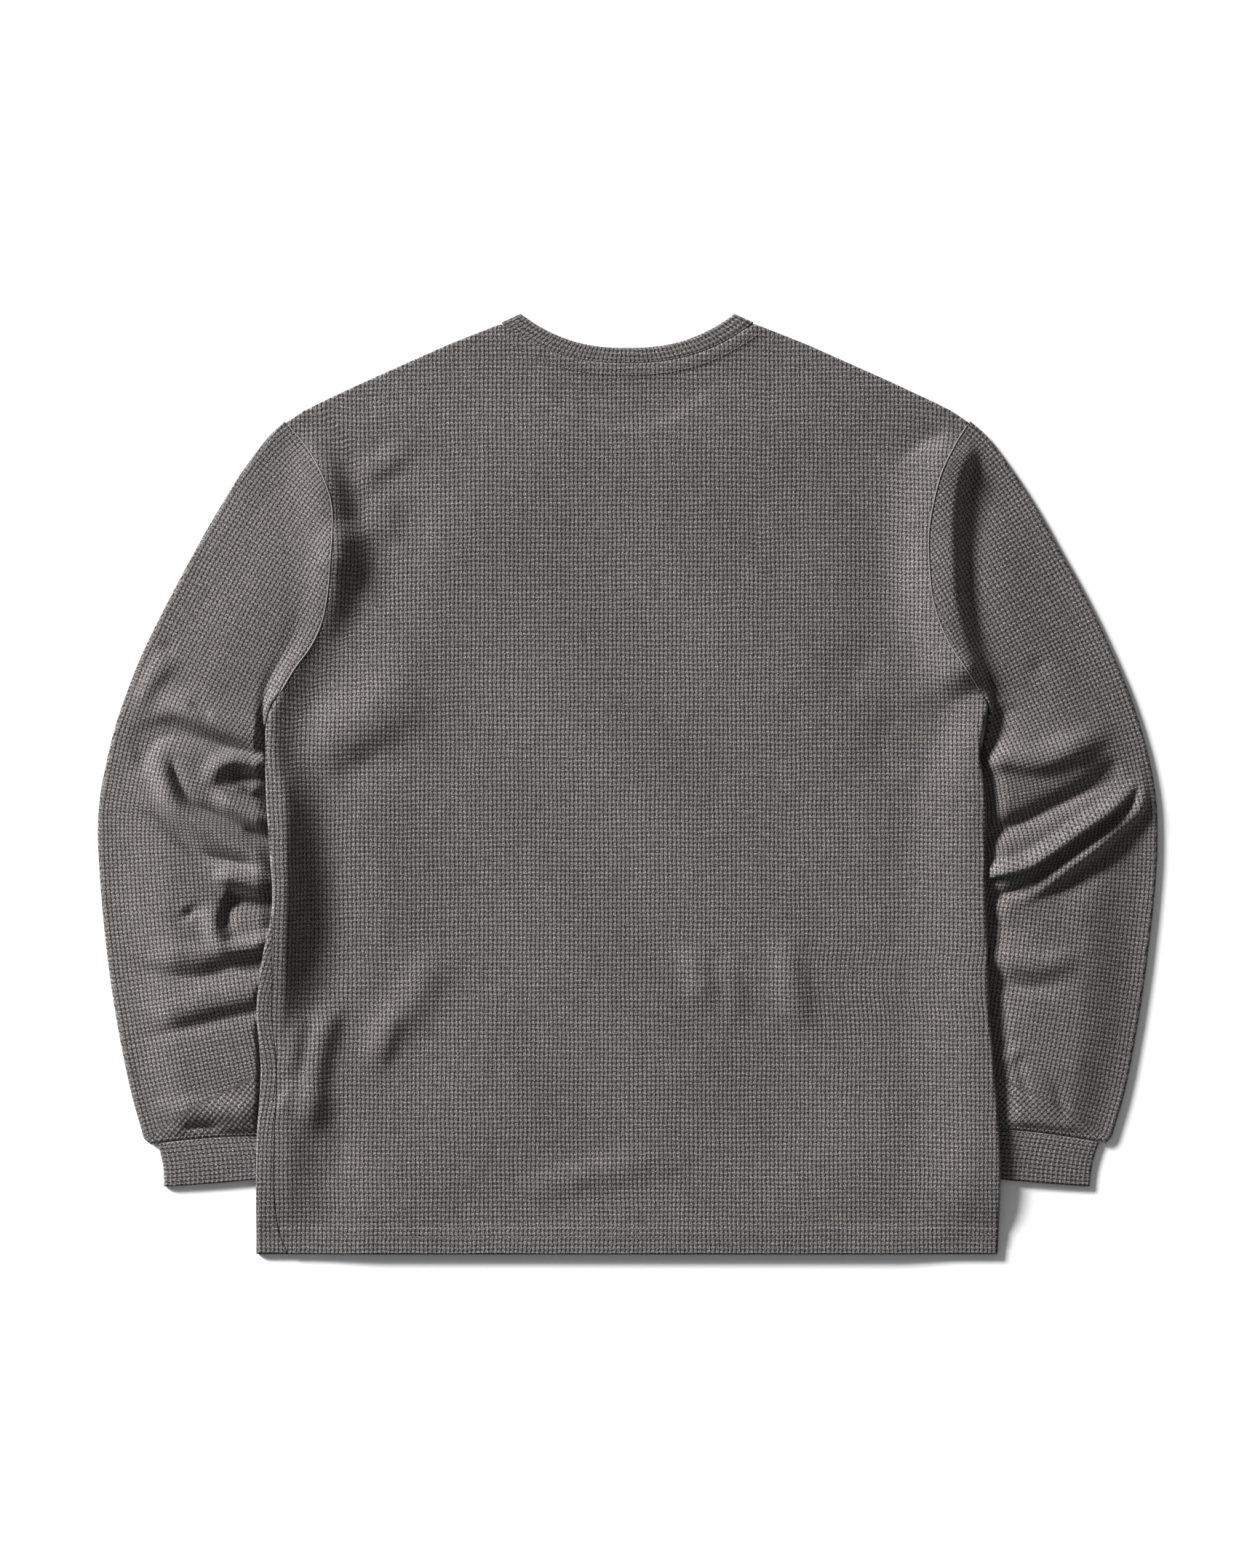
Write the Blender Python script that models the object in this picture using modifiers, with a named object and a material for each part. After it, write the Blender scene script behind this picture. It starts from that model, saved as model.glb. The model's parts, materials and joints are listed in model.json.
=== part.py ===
"""Thermal top, laid flat on its front with the back panel up and the sleeves tucked under the sides.

Waffle-knit pullover with a crew neck: back panel, front panel, two sleeves, two cuffs and a neckband.
Frame: +X to the wearer's right, +Y to the neck, +Z up, origin on the surface under the middle of the garment.
Every piece is a mid-surface worked out row by row, given the thickness of the cloth by Solidify.
Sizes are in millimetres and the model is in metres. Table rows run from the hem up, or down a sleeve.
"""
import bmesh
import bpy
import numpy as np

MM = 0.001

# ---- driving sizes, mm ----
CLOTH = 1.6          # wall of the waffle knit
SEAM_GAP = 0.3       # between two pieces that are sewn together
SLOPE_GAP = 0.5      # more of it in plan where a seam climbs, so the tilted walls keep the gap
EDGE_AIR = 1.0       # air between front and back near their edges
BODY_AIR = 1.2       # more air between them in the middle of the body
SLEEVE_AIR = 1.2     # air between a sleeve's two layers
CUFF_AIR = 0.8
UNDER_GAP = 0.6      # least air between a tucked sleeve and the body on top of it
HEM_Y = -361.5
UNDERARM_Y = 68.0
TIP_Y = 277.5        # shoulder tip, where the sleeve's outer fold meets the shoulder
TIP_X = 262.0
RAMP = 35.0          # width of the slope from the raised sides down to the flat middle
SIDE_TURN = 26.0     # length over which the side fold grows out of the armhole
SIDE_BAND = 30.0     # strip along each side where front and back differ
INNER_FOLD_START = 18.0  # length over which a sleeve's inner fold rounds out below the underarm
FAN = 1.7            # rows fan out from the underarm: they start closer together down the inner fold
NECK_HALF = 96.0     # half width of the neck seam
NECK_Y = 353.6       # height of the neck seam at the shoulder
NECK_POWER = 2.4     # squareness of the neck curve
BACK_DROP, FRONT_DROP = 30.2, 85.0              # depth of the neck seam
BAND_HALF, BAND_Y = 81.0, 359.9                 # the neckband's free edge at the shoulder
BAND_BACK_DROP, BAND_FRONT_DROP = 24.6, 75.4
KNIT_COLOUR = (0.145, 0.130, 0.127)             # linear, the warm grey of the heathered yarn
KNIT_ROUGHNESS = 0.92

# Side edges of the body: armhole seam above the underarm, outline of the side fold below it.
SIDES = np.array([
    # y, left x, right x
    (-361.5, -285.6, 285.3),
    (-315.0, -285.3, 286.0),
    (-250.0, -282.8, 284.2),
    (-187.0, -282.8, 278.0),
    (-140.0, -280.6, 277.0),
    (-97.0, -271.5, 275.2),
    (-51.0, -274.4, 274.6),
    (-9.0, -276.1, 273.8),
    (24.0, -277.2, 269.5),
    (50.0, -276.0, 274.0),
    (61.0, -271.5, 275.6),
    (72.0, -265.0, 269.6),
    (90.0, -254.3, 257.5),
    (120.0, -236.0, 240.3),
    (150.0, -229.6, 232.6),
    (190.0, -226.2, 230.8),
    (217.0, -227.4, 234.8),
    (242.0, -236.7, 242.0),
    (258.0, -246.0, 250.0),
    (277.5, -262.0, 262.0),
])

# How far under the body each sleeve reaches, and how high it holds the body's underside.
PILES = np.array([
    # y, left reach, left height, right reach, right height
    (-361.5, -259.0, 0.0, 260.0, 0.0),
    (-349.0, -259.0, 0.5, 260.0, 0.5),
    (-318.0, -259.0, 5.4, 260.0, 5.4),
    (-250.0, -259.0, 6.8, 260.0, 6.6),
    (-187.0, -261.0, 8.0, 262.0, 6.8),
    (-140.0, -263.0, 10.5, 263.0, 7.2),
    (-97.0, -263.0, 11.6, 263.0, 7.8),
    (-51.0, -263.0, 11.6, 263.0, 8.4),
    (-9.0, -266.0, 11.0, 265.0, 8.6),
    (24.0, -274.0, 9.5, 268.0, 8.6),
    (61.0, -270.0, 7.6, 276.0, 7.6),
    (90.0, -254.3, 5.4, 257.5, 5.6),
    (130.0, -233.0, 2.6, 236.0, 3.0),
    (190.0, -226.2, 0.0, 230.8, 0.0),
    (277.5, -262.0, 0.0, 262.0, 0.0),
])

# How far past the side fold the seam lies: the front panel rolled onto the back, or the back rolled under.
ROLLS = np.array([
    # y, front over the left fold, back under the right fold
    (-361.5, 24.0, 9.0),
    (-315.0, 17.0, 9.0),
    (-200.0, 11.0, 8.0),
    (0.0, 8.0, 6.0),
    (68.0, 2.0, 2.0),
])

SHOULDER = np.array([
    # x from the middle, y
    (96.0, 353.6),
    (104.5, 350.6),
    (231.3, 294.6),
    (248.0, 286.6),
    (262.0, 277.5),
])

# The sleeves' outline from the shoulder tip down to the cuff seam, x from the middle and y.
OUTER_FOLD = {
    "left": [(262.5, 278.5), (275.0, 267.0), (297.0, 239.4), (345.5, 155.4), (384.7, 71.4), (401.0, 15.4),
             (407.4, -35.0), (401.0, -124.6), (382.0, -236.6), (374.1, -264.6), (366.0, -277.5)],
    "right": [(262.5, 278.5), (275.5, 267.0), (297.0, 239.4), (346.0, 155.4), (385.3, 71.4), (402.1, 15.4),
              (407.7, -40.6), (401.0, -124.6), (382.5, -236.6), (375.0, -263.0), (367.5, -276.4)],
}
# Their inner folds, from the underarm past the body's side and then under it.
INNER_FOLD = {
    "left": [(266.5, 71.5), (274.5, 61.0), (278.6, 46.0), (278.4, 26.0), (272.0, 2.0), (268.0, -30.0),
             (266.0, -80.0), (264.0, -150.0), (261.0, -220.0), (259.5, -271.0)],
    "right": [(271.0, 71.5), (278.4, 61.0), (277.9, 46.0), (274.0, 26.0), (269.5, 2.0), (266.5, -30.0),
              (265.0, -80.0), (263.5, -150.0), (262.0, -220.0), (260.5, -264.0)],
}
CUFF_END = {"left": [(354.6, -309.6), (261.5, -301.5)], "right": [(353.6, -309.4), (262.5, -301.5)]}
CUFF_BOW = 2.0       # sag of the cuff seam between its ends
CUFF_GATHER = 0.95   # width of the cuff at its seam against the sleeve's end

# The largest folds on the sleeves' upper layers: soft ridges through three points, x from the middle.
FOLDS = {
    "left": [
        # x0, y0, x1, y1, x2, y2, half width, height
        (390, 52, 348, 64, 296, 40, 12, 6.5),
        (372, -17, 335, -30, 296, -60, 11, 6.0),
        (352, -88, 325, -72, 300, -76, 10, 5.0),
        (384, -112, 340, -132, 300, -116, 12, 5.5),
        (382, -182, 340, -172, 300, -160, 12, 4.0),
        (366, -240, 335, -245, 300, -248, 12, 3.0),
    ],
    "right": [
        (286, 236, 262, 180, 282, 108, 12, 4.0),
        (364, 34, 335, 18, 300, 14, 12, 5.0),
        (386, 2, 342, -30, 298, -50, 12, 8.0),
        (394, -14, 358, -52, 322, -80, 9, 6.0),
        (370, -122, 335, -140, 300, -138, 12, 4.0),
        (360, -244, 335, -248, 300, -250, 12, 2.5),
    ],
}

# Where rows and columns of the meshes run, as shares of the panel or sleeve.
BODY_ROWS = [-361.5, -346, -318, -278, -232, -186, -140, -94, -48, -10, 20, 40, 54, 68]
ARMHOLE_ROWS = 8
HALF_COLUMNS = [0, 0.14, 0.28, NECK_HALF / (TIP_X - SIDE_BAND), 0.6, 0.8, 0.885, 0.915, 0.945, 0.975, 1]
SLEEVE_ROWS = [0, 0.012, 0.03, 0.06, 0.1, 0.15, 0.21, 0.28, 0.35, 0.42, 0.49, 0.56, 0.63, 0.7, 0.77, 0.84, 0.92, 1]


# ---- curves ----

def ease(t):
    """0 below 0, 1 above 1, and a smooth step between."""
    t = np.clip(t, 0.0, 1.0)
    return t * t * (3 - 2 * t)


def column(table, index, y):
    """A table's column at heights y, as a smooth curve through its rows."""
    rows, values = table[:, 0], table[:, index]
    slopes = np.gradient(values, rows)
    k = np.clip(np.searchsorted(rows, y) - 1, 0, len(rows) - 2)
    step = rows[k + 1] - rows[k]
    t = np.clip((y - rows[k]) / step, 0.0, 1.0)
    start = (2 * t**3 - 3 * t**2 + 1) * values[k] + (t**3 - 2 * t**2 + t) * step * slopes[k]
    return start + (3 * t**2 - 2 * t**3) * values[k + 1] + (t**3 - t**2) * step * slopes[k + 1]


def along_curve(points, shares):
    """Points at shares of the length of a smooth curve through the given ones."""
    points = np.asarray(points, float)
    chords = np.sqrt(np.linalg.norm(np.diff(points, axis=0), axis=1))
    knots = np.concatenate([[0], np.cumsum(chords)])
    fine = np.linspace(0, knots[-1], 600)
    line = np.stack([column(np.column_stack([knots, points[:, i]]), 1, fine) for i in (0, 1)], 1)
    length = np.concatenate([[0], np.cumsum(np.linalg.norm(np.diff(line, axis=0), axis=1))])
    at = np.asarray(shares) * length[-1]
    return np.stack([np.interp(at, length, line[:, i]) for i in (0, 1)], 1)


def moved_out(line, distance):
    """A plan line moved sideways, to the right of its direction for a positive distance."""
    direction = np.gradient(line, axis=0)
    direction /= np.linalg.norm(direction, axis=1)[:, None]
    return line + np.column_stack([direction[:, 1], -direction[:, 0]]) * distance


# ---- the body ----

def side_x(y, side):
    return side * column(SIDES, 1 if side < 0 else 2, y)


def pile(x, y):
    """How high the body's underside lies: up on the tucked sleeves, on the surface in the middle."""
    left = np.maximum(column(PILES, 2, y), 0) * ease(1 - (x - column(PILES, 1, y)) / RAMP)
    right = np.maximum(column(PILES, 4, y), 0) * ease(1 - (column(PILES, 3, y) - x) / RAMP)
    return left + right


def body_air(x, y):
    inside = np.minimum(side_x(y, -1) + x, side_x(y, 1) - x)
    return EDGE_AIR + BODY_AIR * ease((inside - SIDE_BAND) / 60) * ease((325 - y) / 60)


def front_z(x, y):
    return CLOTH / 2 + pile(x, y)


def back_z(x, y):
    return front_z(x, y) + CLOTH + body_air(x, y)


def neck_curve(half, top, drop, xs):
    return np.column_stack([xs, top - drop * (1 - np.clip(np.abs(xs) / half, 0, 1) ** NECK_POWER)])


def top_edge(drop, xs):
    """Top of a body panel: from the left shoulder tip over the neck seam to the right one, the gap below them."""
    inside = np.abs(xs) < NECK_HALF - 0.01
    edge = np.column_stack([xs, np.interp(np.abs(xs), SHOULDER[:, 0], SHOULDER[:, 1]) - SEAM_GAP])
    edge[inside] = moved_out(neck_curve(NECK_HALF, NECK_Y, drop, xs[inside]), SEAM_GAP + 0.45)
    return edge


def turned(y):
    """How far the side fold is formed: not at the underarm, where the panels are still apart, fully below it."""
    return ease((UNDERARM_Y - y) / SIDE_TURN)


def round_side(over, y, edge, radius, here, there):
    """A point at a length past the start of the side fold: round it, then back in on the other layer."""
    if over <= 0:
        return edge - radius + over, here
    if over < np.pi * radius:
        angle = over / radius
        return edge - radius + radius * np.sin(angle), (here + there) / 2 + (here - there) / 2 * np.cos(angle)
    return edge - radius - (over - np.pi * radius), there


def side_strip(y, side, is_front):
    """The points of one row from the strip's inner end out to the panel's edge, as x and z."""
    inner, turn = side_x(y, side) - SIDE_BAND, turned(y)
    edge = side_x(y, side) - CLOTH / 2 * turn
    low, high = front_z(side * edge, y), back_z(side * edge, y)
    here, there = (low, high) if is_front else (high, low)
    radius = max((high - low) / 2 * turn, 1e-6)
    roll = column(ROLLS, 1 if side < 0 else 2, y) * turned(y + SIDE_TURN / 2) * (1 if is_front == (side < 0) else -1)
    reach = np.pi * radius / 2 + roll - SEAM_GAP
    bend = [radius * np.pi * k / 4 for k in range(5)]
    if reach > bend[-1]:
        past = bend + [reach]
    else:
        past = list(np.linspace(min(0, reach - 2), reach, 6))
    start = inner - (edge - radius)
    past = [start + (past[0] - start) * 0.5] + past
    strip = [(inner, None)] + [round_side(over, y, edge, radius, here, there) for over in past]
    layer = front_z if is_front else back_z
    return [(side * x, layer(side * x, y) if z is None or z == here else z) for x, z in strip]


def body_panel(name, is_front):
    """Front or back: straight rows up to the underarm, then rows that swing up to the shoulders and neck."""
    layer = front_z if is_front else back_z
    shares = np.array([-s for s in HALF_COLUMNS[:0:-1]] + HALF_COLUMNS)
    rows = []
    for y in BODY_ROWS:
        left, right = side_strip(y, -1, is_front), side_strip(y, 1, is_front)
        middle = np.where(shares < 0, -shares * left[0][0], shares * right[0][0])
        row = [(x, y, z) for x, z in left[:0:-1]]
        row += [(x, y, layer(x, y)) for x in middle]
        rows.append(row + [(x, y, z) for x, z in right[1:]])
    # Above the underarm a row's columns keep their shares of the strip and of the middle.
    strip = np.array([(x - left[0][0]) / (left[-1][0] - left[0][0]) for x, _ in left[1:]])
    xs_top = np.concatenate([
        -(TIP_X - SIDE_BAND * (1 - strip[::-1])), shares * (TIP_X - SIDE_BAND), TIP_X - SIDE_BAND * (1 - strip),
    ])
    top = top_edge(FRONT_DROP if is_front else BACK_DROP, xs_top)
    for v in np.arange(1, ARMHOLE_ROWS + 1) / ARMHOLE_ROWS:
        y_side = UNDERARM_Y + v * (TIP_Y - UNDERARM_Y)
        left, right = side_x(y_side, -1), side_x(y_side, 1)
        xs = np.concatenate([
            -(left - SIDE_BAND * (1 - strip[::-1])),
            np.where(shares < 0, shares * (left - SIDE_BAND), shares * (right - SIDE_BAND)),
            right - SIDE_BAND * (1 - strip),
        ])
        xs = xs + (top[:, 0] - xs_top) * v
        ys = UNDERARM_Y + v * (top[:, 1] - UNDERARM_Y)
        rows.append([(x, y, layer(x, y)) for x, y in zip(xs, ys)])
    return wall(name, rows, False)


# ---- sleeves and cuffs ----

def fold_height(x, y, folds):
    """Height added by the large folds: soft ridges along bent lines, fading at their ends."""
    total = np.zeros_like(x)
    for x0, y0, x1, y1, x2, y2, width, height in folds:
        t = np.linspace(0, 1, 24)[:, None]
        line = (1 - t) ** 2 * (x0, y0) + 2 * t * (1 - t) * (x1, y1) + t**2 * (x2, y2)
        gap = np.hypot(x[..., None] - line[:, 0], y[..., None] - line[:, 1])
        fade = np.sin(np.pi * (0.08 + 0.84 * gap.argmin(-1) / 23)) ** 0.7
        total += height * fade * np.exp(-((gap.min(-1) / width) ** 2))
    return total


def sleeve_plan(name, side):
    """Plan of a sleeve's upper layer between armhole, outer fold, cuff seam and inner fold, x from the middle."""
    inset = (2 * CLOTH + SLEEVE_AIR) / 2
    heights = np.linspace(TIP_Y, UNDERARM_Y, ARMHOLE_ROWS + 1)
    start = moved_out(np.column_stack([side_x(heights, side), heights]), -SEAM_GAP - SLOPE_GAP)
    outer = moved_out(along_curve(OUTER_FOLD[name], SLEEVE_ROWS), inset)
    inner = moved_out(along_curve(INNER_FOLD[name], np.array(SLEEVE_ROWS) ** FAN), -inset)
    v = np.array(SLEEVE_ROWS)[:, None]
    outer += (start[0] - outer[0]) * (1 - v) ** 12
    inner += (start[-1] - inner[0]) * (1 - v) ** 24
    u = np.linspace(0, 1, len(start))[:, None]
    end = outer[-1] * (1 - u) + inner[-1] * u
    end[:, 1] += CUFF_BOW * np.sin(np.pi * u[:, 0])
    # Rows run straight from fold to fold, but for the armhole's bend, which dies out sooner near the inner fold.
    bend = start - (start[0] * (1 - u) + start[-1] * u)
    bow = end - (end[0] * (1 - u) + end[-1] * u)
    u, v = u[None], v[:, None]
    return (1 - u) * outer[:, None] + u * inner[:, None] + bend * (1 - v) ** (1 + 9 * u**3) + bow * v


def tube(plan, lower, upper, side):
    """Rings of a flattened tube: out to in on the upper layer, round the inner fold, back, round the outer fold."""
    inner, outer = beyond(plan[:, -1], 1), beyond(plan[:, 0], -1)
    inner *= ease(np.linalg.norm(plan[:, -1] - plan[0, -1], axis=1) / INNER_FOLD_START)[:, None]
    rings = []
    for points, low, high, far, near in zip(plan, lower, upper, outer, inner):
        ring = [(x, y, z) for (x, y), z in zip(points, high)]
        ring += half_turn(points[-1], near, high[-1], low[-1])
        ring += [(x, y, z) for (x, y), z in zip(points[::-1], low[::-1])]
        ring += half_turn(points[0], far, low[0], high[0])
        rings.append([(side * x, y, z) for x, y, z in ring])
    return rings


def beyond(edge, turn):
    """The direction square to a fold line at each of its points, to the right of its direction where turn is 1."""
    direction = np.gradient(edge, axis=0)
    direction /= np.linalg.norm(direction, axis=1)[:, None]
    return np.column_stack([direction[:, 1], -direction[:, 0]]) * turn


def half_turn(end, out, from_z, to_z, steps=3):
    """The points of a fold from one layer to the other, past the end of a row."""
    reach = out * abs(from_z - to_z) / 2
    angles = np.pi * np.arange(1, steps) / steps
    return [(*(end + reach * np.sin(a)), (from_z + to_z) / 2 + (from_z - to_z) / 2 * np.cos(a)) for a in angles]


def sleeve(name, side_name, side):
    """A sleeve: flush with front and back at the armhole, on the surface a little way down, under the body's side."""
    plan = sleeve_plan(side_name, side)
    x, y = plan[..., 0], plan[..., 1]
    away = np.linalg.norm(plan - plan[:1], axis=2)
    seam_low, seam_high = front_z(side * x[:1], y[:1]), back_z(side * x[:1], y[:1])
    flush = ease(1 - away / 34)
    floor = CLOTH / 2
    lower = floor + (seam_low - floor) * flush
    rise = fold_height(x, y, FOLDS[side_name]) * ease(away / 40) * ease((y - y[-1:]) / 24)
    upper = (floor + CLOTH + SLEEVE_AIR + rise) * (1 - flush) + seam_high * flush
    beside = ease((x - side_x(y, side) - 12) / 10) + ease((y - 45) / 12)
    room = front_z(side * x, y) - CLOTH - UNDER_GAP + 30 * beside
    upper = np.minimum(upper, room)
    lower = np.minimum(lower, upper - CLOTH - EDGE_AIR)
    return wall(name, tube(plan, lower, upper, side), True)


def cuff(name, side_name, side):
    """A cuff tube from the sleeve's end, a little narrower, to its free edge."""
    start = sleeve_plan(side_name, side)[-1]
    start = start[-1] + (start - start[-1]) * (CUFF_GATHER, 1) - (0, SEAM_GAP)
    ends = np.array(CUFF_END[side_name])
    u = np.linspace(0, 1, len(start))[:, None]
    end = ends[0] * (1 - u) + ends[1] * u
    v = np.array([0, 0.5, 1])[:, None, None]
    plan = start * (1 - v) + end * v
    lower = np.full(plan.shape[:2], CLOTH / 2)
    return wall(name, tube(plan, lower, lower + CLOTH + CUFF_AIR, side), True)


# ---- neckband ----

def neckband(name):
    """The neckband: a ring of cloth folded flat at the shoulders, its back half higher up than its front half."""
    shares = np.array([-s for s in HALF_COLUMNS[3:0:-1]] + HALF_COLUMNS[:4]) / HALF_COLUMNS[3]
    low, high = CLOTH / 2, CLOTH / 2 + CLOTH + EDGE_AIR
    rings = []
    for h in (0, 0.5, 1):
        half, top = NECK_HALF + (BAND_HALF - NECK_HALF) * h, NECK_Y + (BAND_Y - NECK_Y) * h
        xs = shares * half
        back = neck_curve(half, top, BACK_DROP + (BAND_BACK_DROP - BACK_DROP) * h, xs)
        front = neck_curve(half, top, FRONT_DROP + (BAND_FRONT_DROP - FRONT_DROP) * h, xs)
        ring = [(x, y, high) for x, y in back] + [(half + 0.8, top + 0.9, (low + high) / 2)]
        ring += [(x, y, low) for x, y in front[::-1]] + [(-half - 0.8, top + 0.9, (low + high) / 2)]
        rings.append(ring)
    return wall(name, rings, True)


# ---- mesh and material ----

def wall(name, rows, is_ring):
    """A surface through rows of points, as thick as the cloth."""
    bm = bmesh.new()
    verts = [[bm.verts.new([c * MM for c in point]) for point in row] for row in rows]
    for low, high in zip(verts, verts[1:]):
        for i in range(len(low) - (not is_ring)):
            j = (i + 1) % len(low)
            bm.faces.new((low[i], low[j], high[j], high[i]))
    bmesh.ops.recalc_face_normals(bm, faces=bm.faces)
    mesh = bpy.data.meshes.new(name)
    bm.to_mesh(mesh)
    bm.free()
    mesh.shade_smooth()
    mesh.materials.append(knit(name))
    piece = bpy.data.objects.new(name, mesh)
    cloth = piece.modifiers.new("Cloth", "SOLIDIFY")
    cloth.thickness = CLOTH * MM
    cloth.offset = 0
    return piece


def knit(name):
    material = bpy.data.materials.new(name + "_knit")
    material.use_nodes = True
    shader = material.node_tree.nodes["Principled BSDF"]
    shader.inputs["Base Color"].default_value = (*KNIT_COLOUR, 1)
    shader.inputs["Roughness"].default_value = KNIT_ROUGHNESS
    shader.inputs["Metallic"].default_value = 0
    return material


def main():
    for obj in list(bpy.data.objects):
        bpy.data.objects.remove(obj)
    top = bpy.data.collections.new("thermal_top")
    bpy.context.scene.collection.children.link(top)
    for piece in (
        body_panel("back_panel", False),
        body_panel("front_panel", True),
        sleeve("sleeve_left", "left", -1),
        sleeve("sleeve_right", "right", 1),
        cuff("cuff_left", "left", -1),
        cuff("cuff_right", "right", 1),
        neckband("neckband"),
    ):
        top.objects.link(piece)


main()
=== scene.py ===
"""Looks of the thermal top: waffle-knit cloth with its folds, twin-needle stitching and a white studio.

Sizes are in millimetres and the scene is in metres. The garment lies on z = 0 with its neck towards +Y.
"""
import json

import bpy
import numpy as np
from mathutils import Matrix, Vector
from mathutils.bvhtree import BVHTree

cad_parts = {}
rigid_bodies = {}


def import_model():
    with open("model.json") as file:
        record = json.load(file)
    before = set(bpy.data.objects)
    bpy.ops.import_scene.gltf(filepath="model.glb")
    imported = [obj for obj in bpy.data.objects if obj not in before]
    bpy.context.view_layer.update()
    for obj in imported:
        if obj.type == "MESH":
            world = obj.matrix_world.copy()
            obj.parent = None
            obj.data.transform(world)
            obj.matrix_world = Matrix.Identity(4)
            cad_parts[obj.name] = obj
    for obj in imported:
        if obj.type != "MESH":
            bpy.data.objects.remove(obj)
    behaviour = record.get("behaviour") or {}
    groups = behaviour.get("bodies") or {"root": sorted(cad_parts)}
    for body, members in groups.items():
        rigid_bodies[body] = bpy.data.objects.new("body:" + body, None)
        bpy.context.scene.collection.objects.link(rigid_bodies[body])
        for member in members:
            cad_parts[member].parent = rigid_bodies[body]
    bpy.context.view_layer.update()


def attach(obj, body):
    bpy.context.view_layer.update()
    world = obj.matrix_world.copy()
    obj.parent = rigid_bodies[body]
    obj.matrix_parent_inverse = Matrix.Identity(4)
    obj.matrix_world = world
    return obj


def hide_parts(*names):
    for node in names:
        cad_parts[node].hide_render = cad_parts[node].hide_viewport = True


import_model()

bl_info = {
    "name": "Thermal top",
    "version": (1, 0, 0),
    "blender": (4, 5, 0),
    "location": "3D Viewport > Sidebar > Thermal top",
    "description": "Waffle-knit cloth, stitching and studio for a thermal top laid flat",
    "category": "Object",
}

MM = 0.001

# ---- sizes, mm: the cut and how it lies ----
CLOTH = 1.6
SEAM_GAP = 0.25
UNDER_GAP = 0.5      # least gap between one layer's underside and the next layer
SLACK = 0.3          # extra room where a layer turns or is pressed on another

EDGE_AIR = 1.0       # between the body's panels at their edges
BODY_AIR = 2.0       # further air between them in the middle
BODY_SWELL = 1.9     # unevenness of the back
DISH, DISH_WIDTH = 1.4, 170.0      # how much higher the body lies at its sides, and over what width
HEM_Y, HEM_DEPTH, HEM_RISE = -361.5, 20.0, 0.7
UNDERARM_Y, TIP_Y, TIP_X = 68.0, 277.5, 262.0
SIDE_TURN = 26.0     # below the underarm, over which the side seam becomes a fold
SIDE_BAND = 30.0     # strip along each side in which a panel's columns follow the fold

NECK_HALF, NECK_Y, NECK_POWER = 96.0, 353.6, 2.4
BACK_DROP, FRONT_DROP = 30.2, 85.0
BAND_HALF, BAND_Y, BAND_BACK_DROP, BAND_FRONT_DROP = 81.0, 360.5, 25.2, 76.0
BAND_WIDTH, BAND_CROWN = 12.0, 0.5
NECK_STRIP, STRIP_RISE = 8.6, 0.9  # the neck seam's covered allowance, between its two rows of stitches
NECK_MARK = 1.3      # how far the back sinks over the front's neck opening

SLEEVE_AIR = 1.2
SLEEVE_SWELL = 1.2
SLEEVE_LOFT, ARM_LOFT, ELBOW_LOFT = 2.4, 0.8, 3.4
SEAM_REACH = 36.0    # from the armhole, over which the sleeve comes down from the body's height
INNER_FOLD_START = 18.0
FAN = 1.7            # how the rows of a sleeve crowd together towards the underarm
FREE_FROM = {"left": 0.5, "right": 1.5}  # distance out from the body's edge where a sleeve can rise past it

CUFF_AIR, CUFF_CROWN = 0.9, 0.9
CUFF_BOW, CUFF_END_BOW, CUFF_SIDE_BOW, CUFF_GATHER = 2.0, 0.6, 1.6, 0.95

# ---- mesh steps ----
SLEEVE_COLUMNS, SLEEVE_ROWS, SLEEVE_THIN, SLEEVE_BEND = 92, 330, 9, 7
CUFF_COLUMNS, CUFF_ROWS, CUFF_THIN, CUFF_BEND = 60, 22, 6, 6
CLOSING_ROWS = 5     # rows that bend a body panel down at the shoulder seam

# Side edges of the body: armhole seam above the underarm, side fold below it.
SIDES = np.array([
    # y, left x, right x
    (-361.5, -285.6, 284.6),
    (-347.0, -285.5, 285.3),
    (-315.0, -285.3, 286.2),
    (-270.0, -284.4, 285.2),
    (-219.0, -281.4, 281.5),
    (-172.0, -284.2, 277.6),
    (-140.0, -280.6, 276.6),
    (-92.0, -271.6, 275.2),
    (-51.0, -273.6, 274.5),
    (-9.0, -276.6, 274.6),
    (24.0, -277.4, 270.5),
    (50.0, -276.0, 274.0),
    (61.0, -271.5, 275.6),
    (72.0, -265.0, 269.6),
    (90.0, -254.3, 257.5),
    (103.0, -244.6, 248.6),
    (121.0, -235.6, 240.0),
    (141.0, -230.7, 234.0),
    (166.0, -227.9, 231.3),
    (192.0, -226.2, 230.9),
    (217.0, -227.4, 234.8),
    (242.0, -236.7, 242.0),
    (258.0, -246.0, 250.0),
    (277.5, -262.0, 262.0),
])

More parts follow.
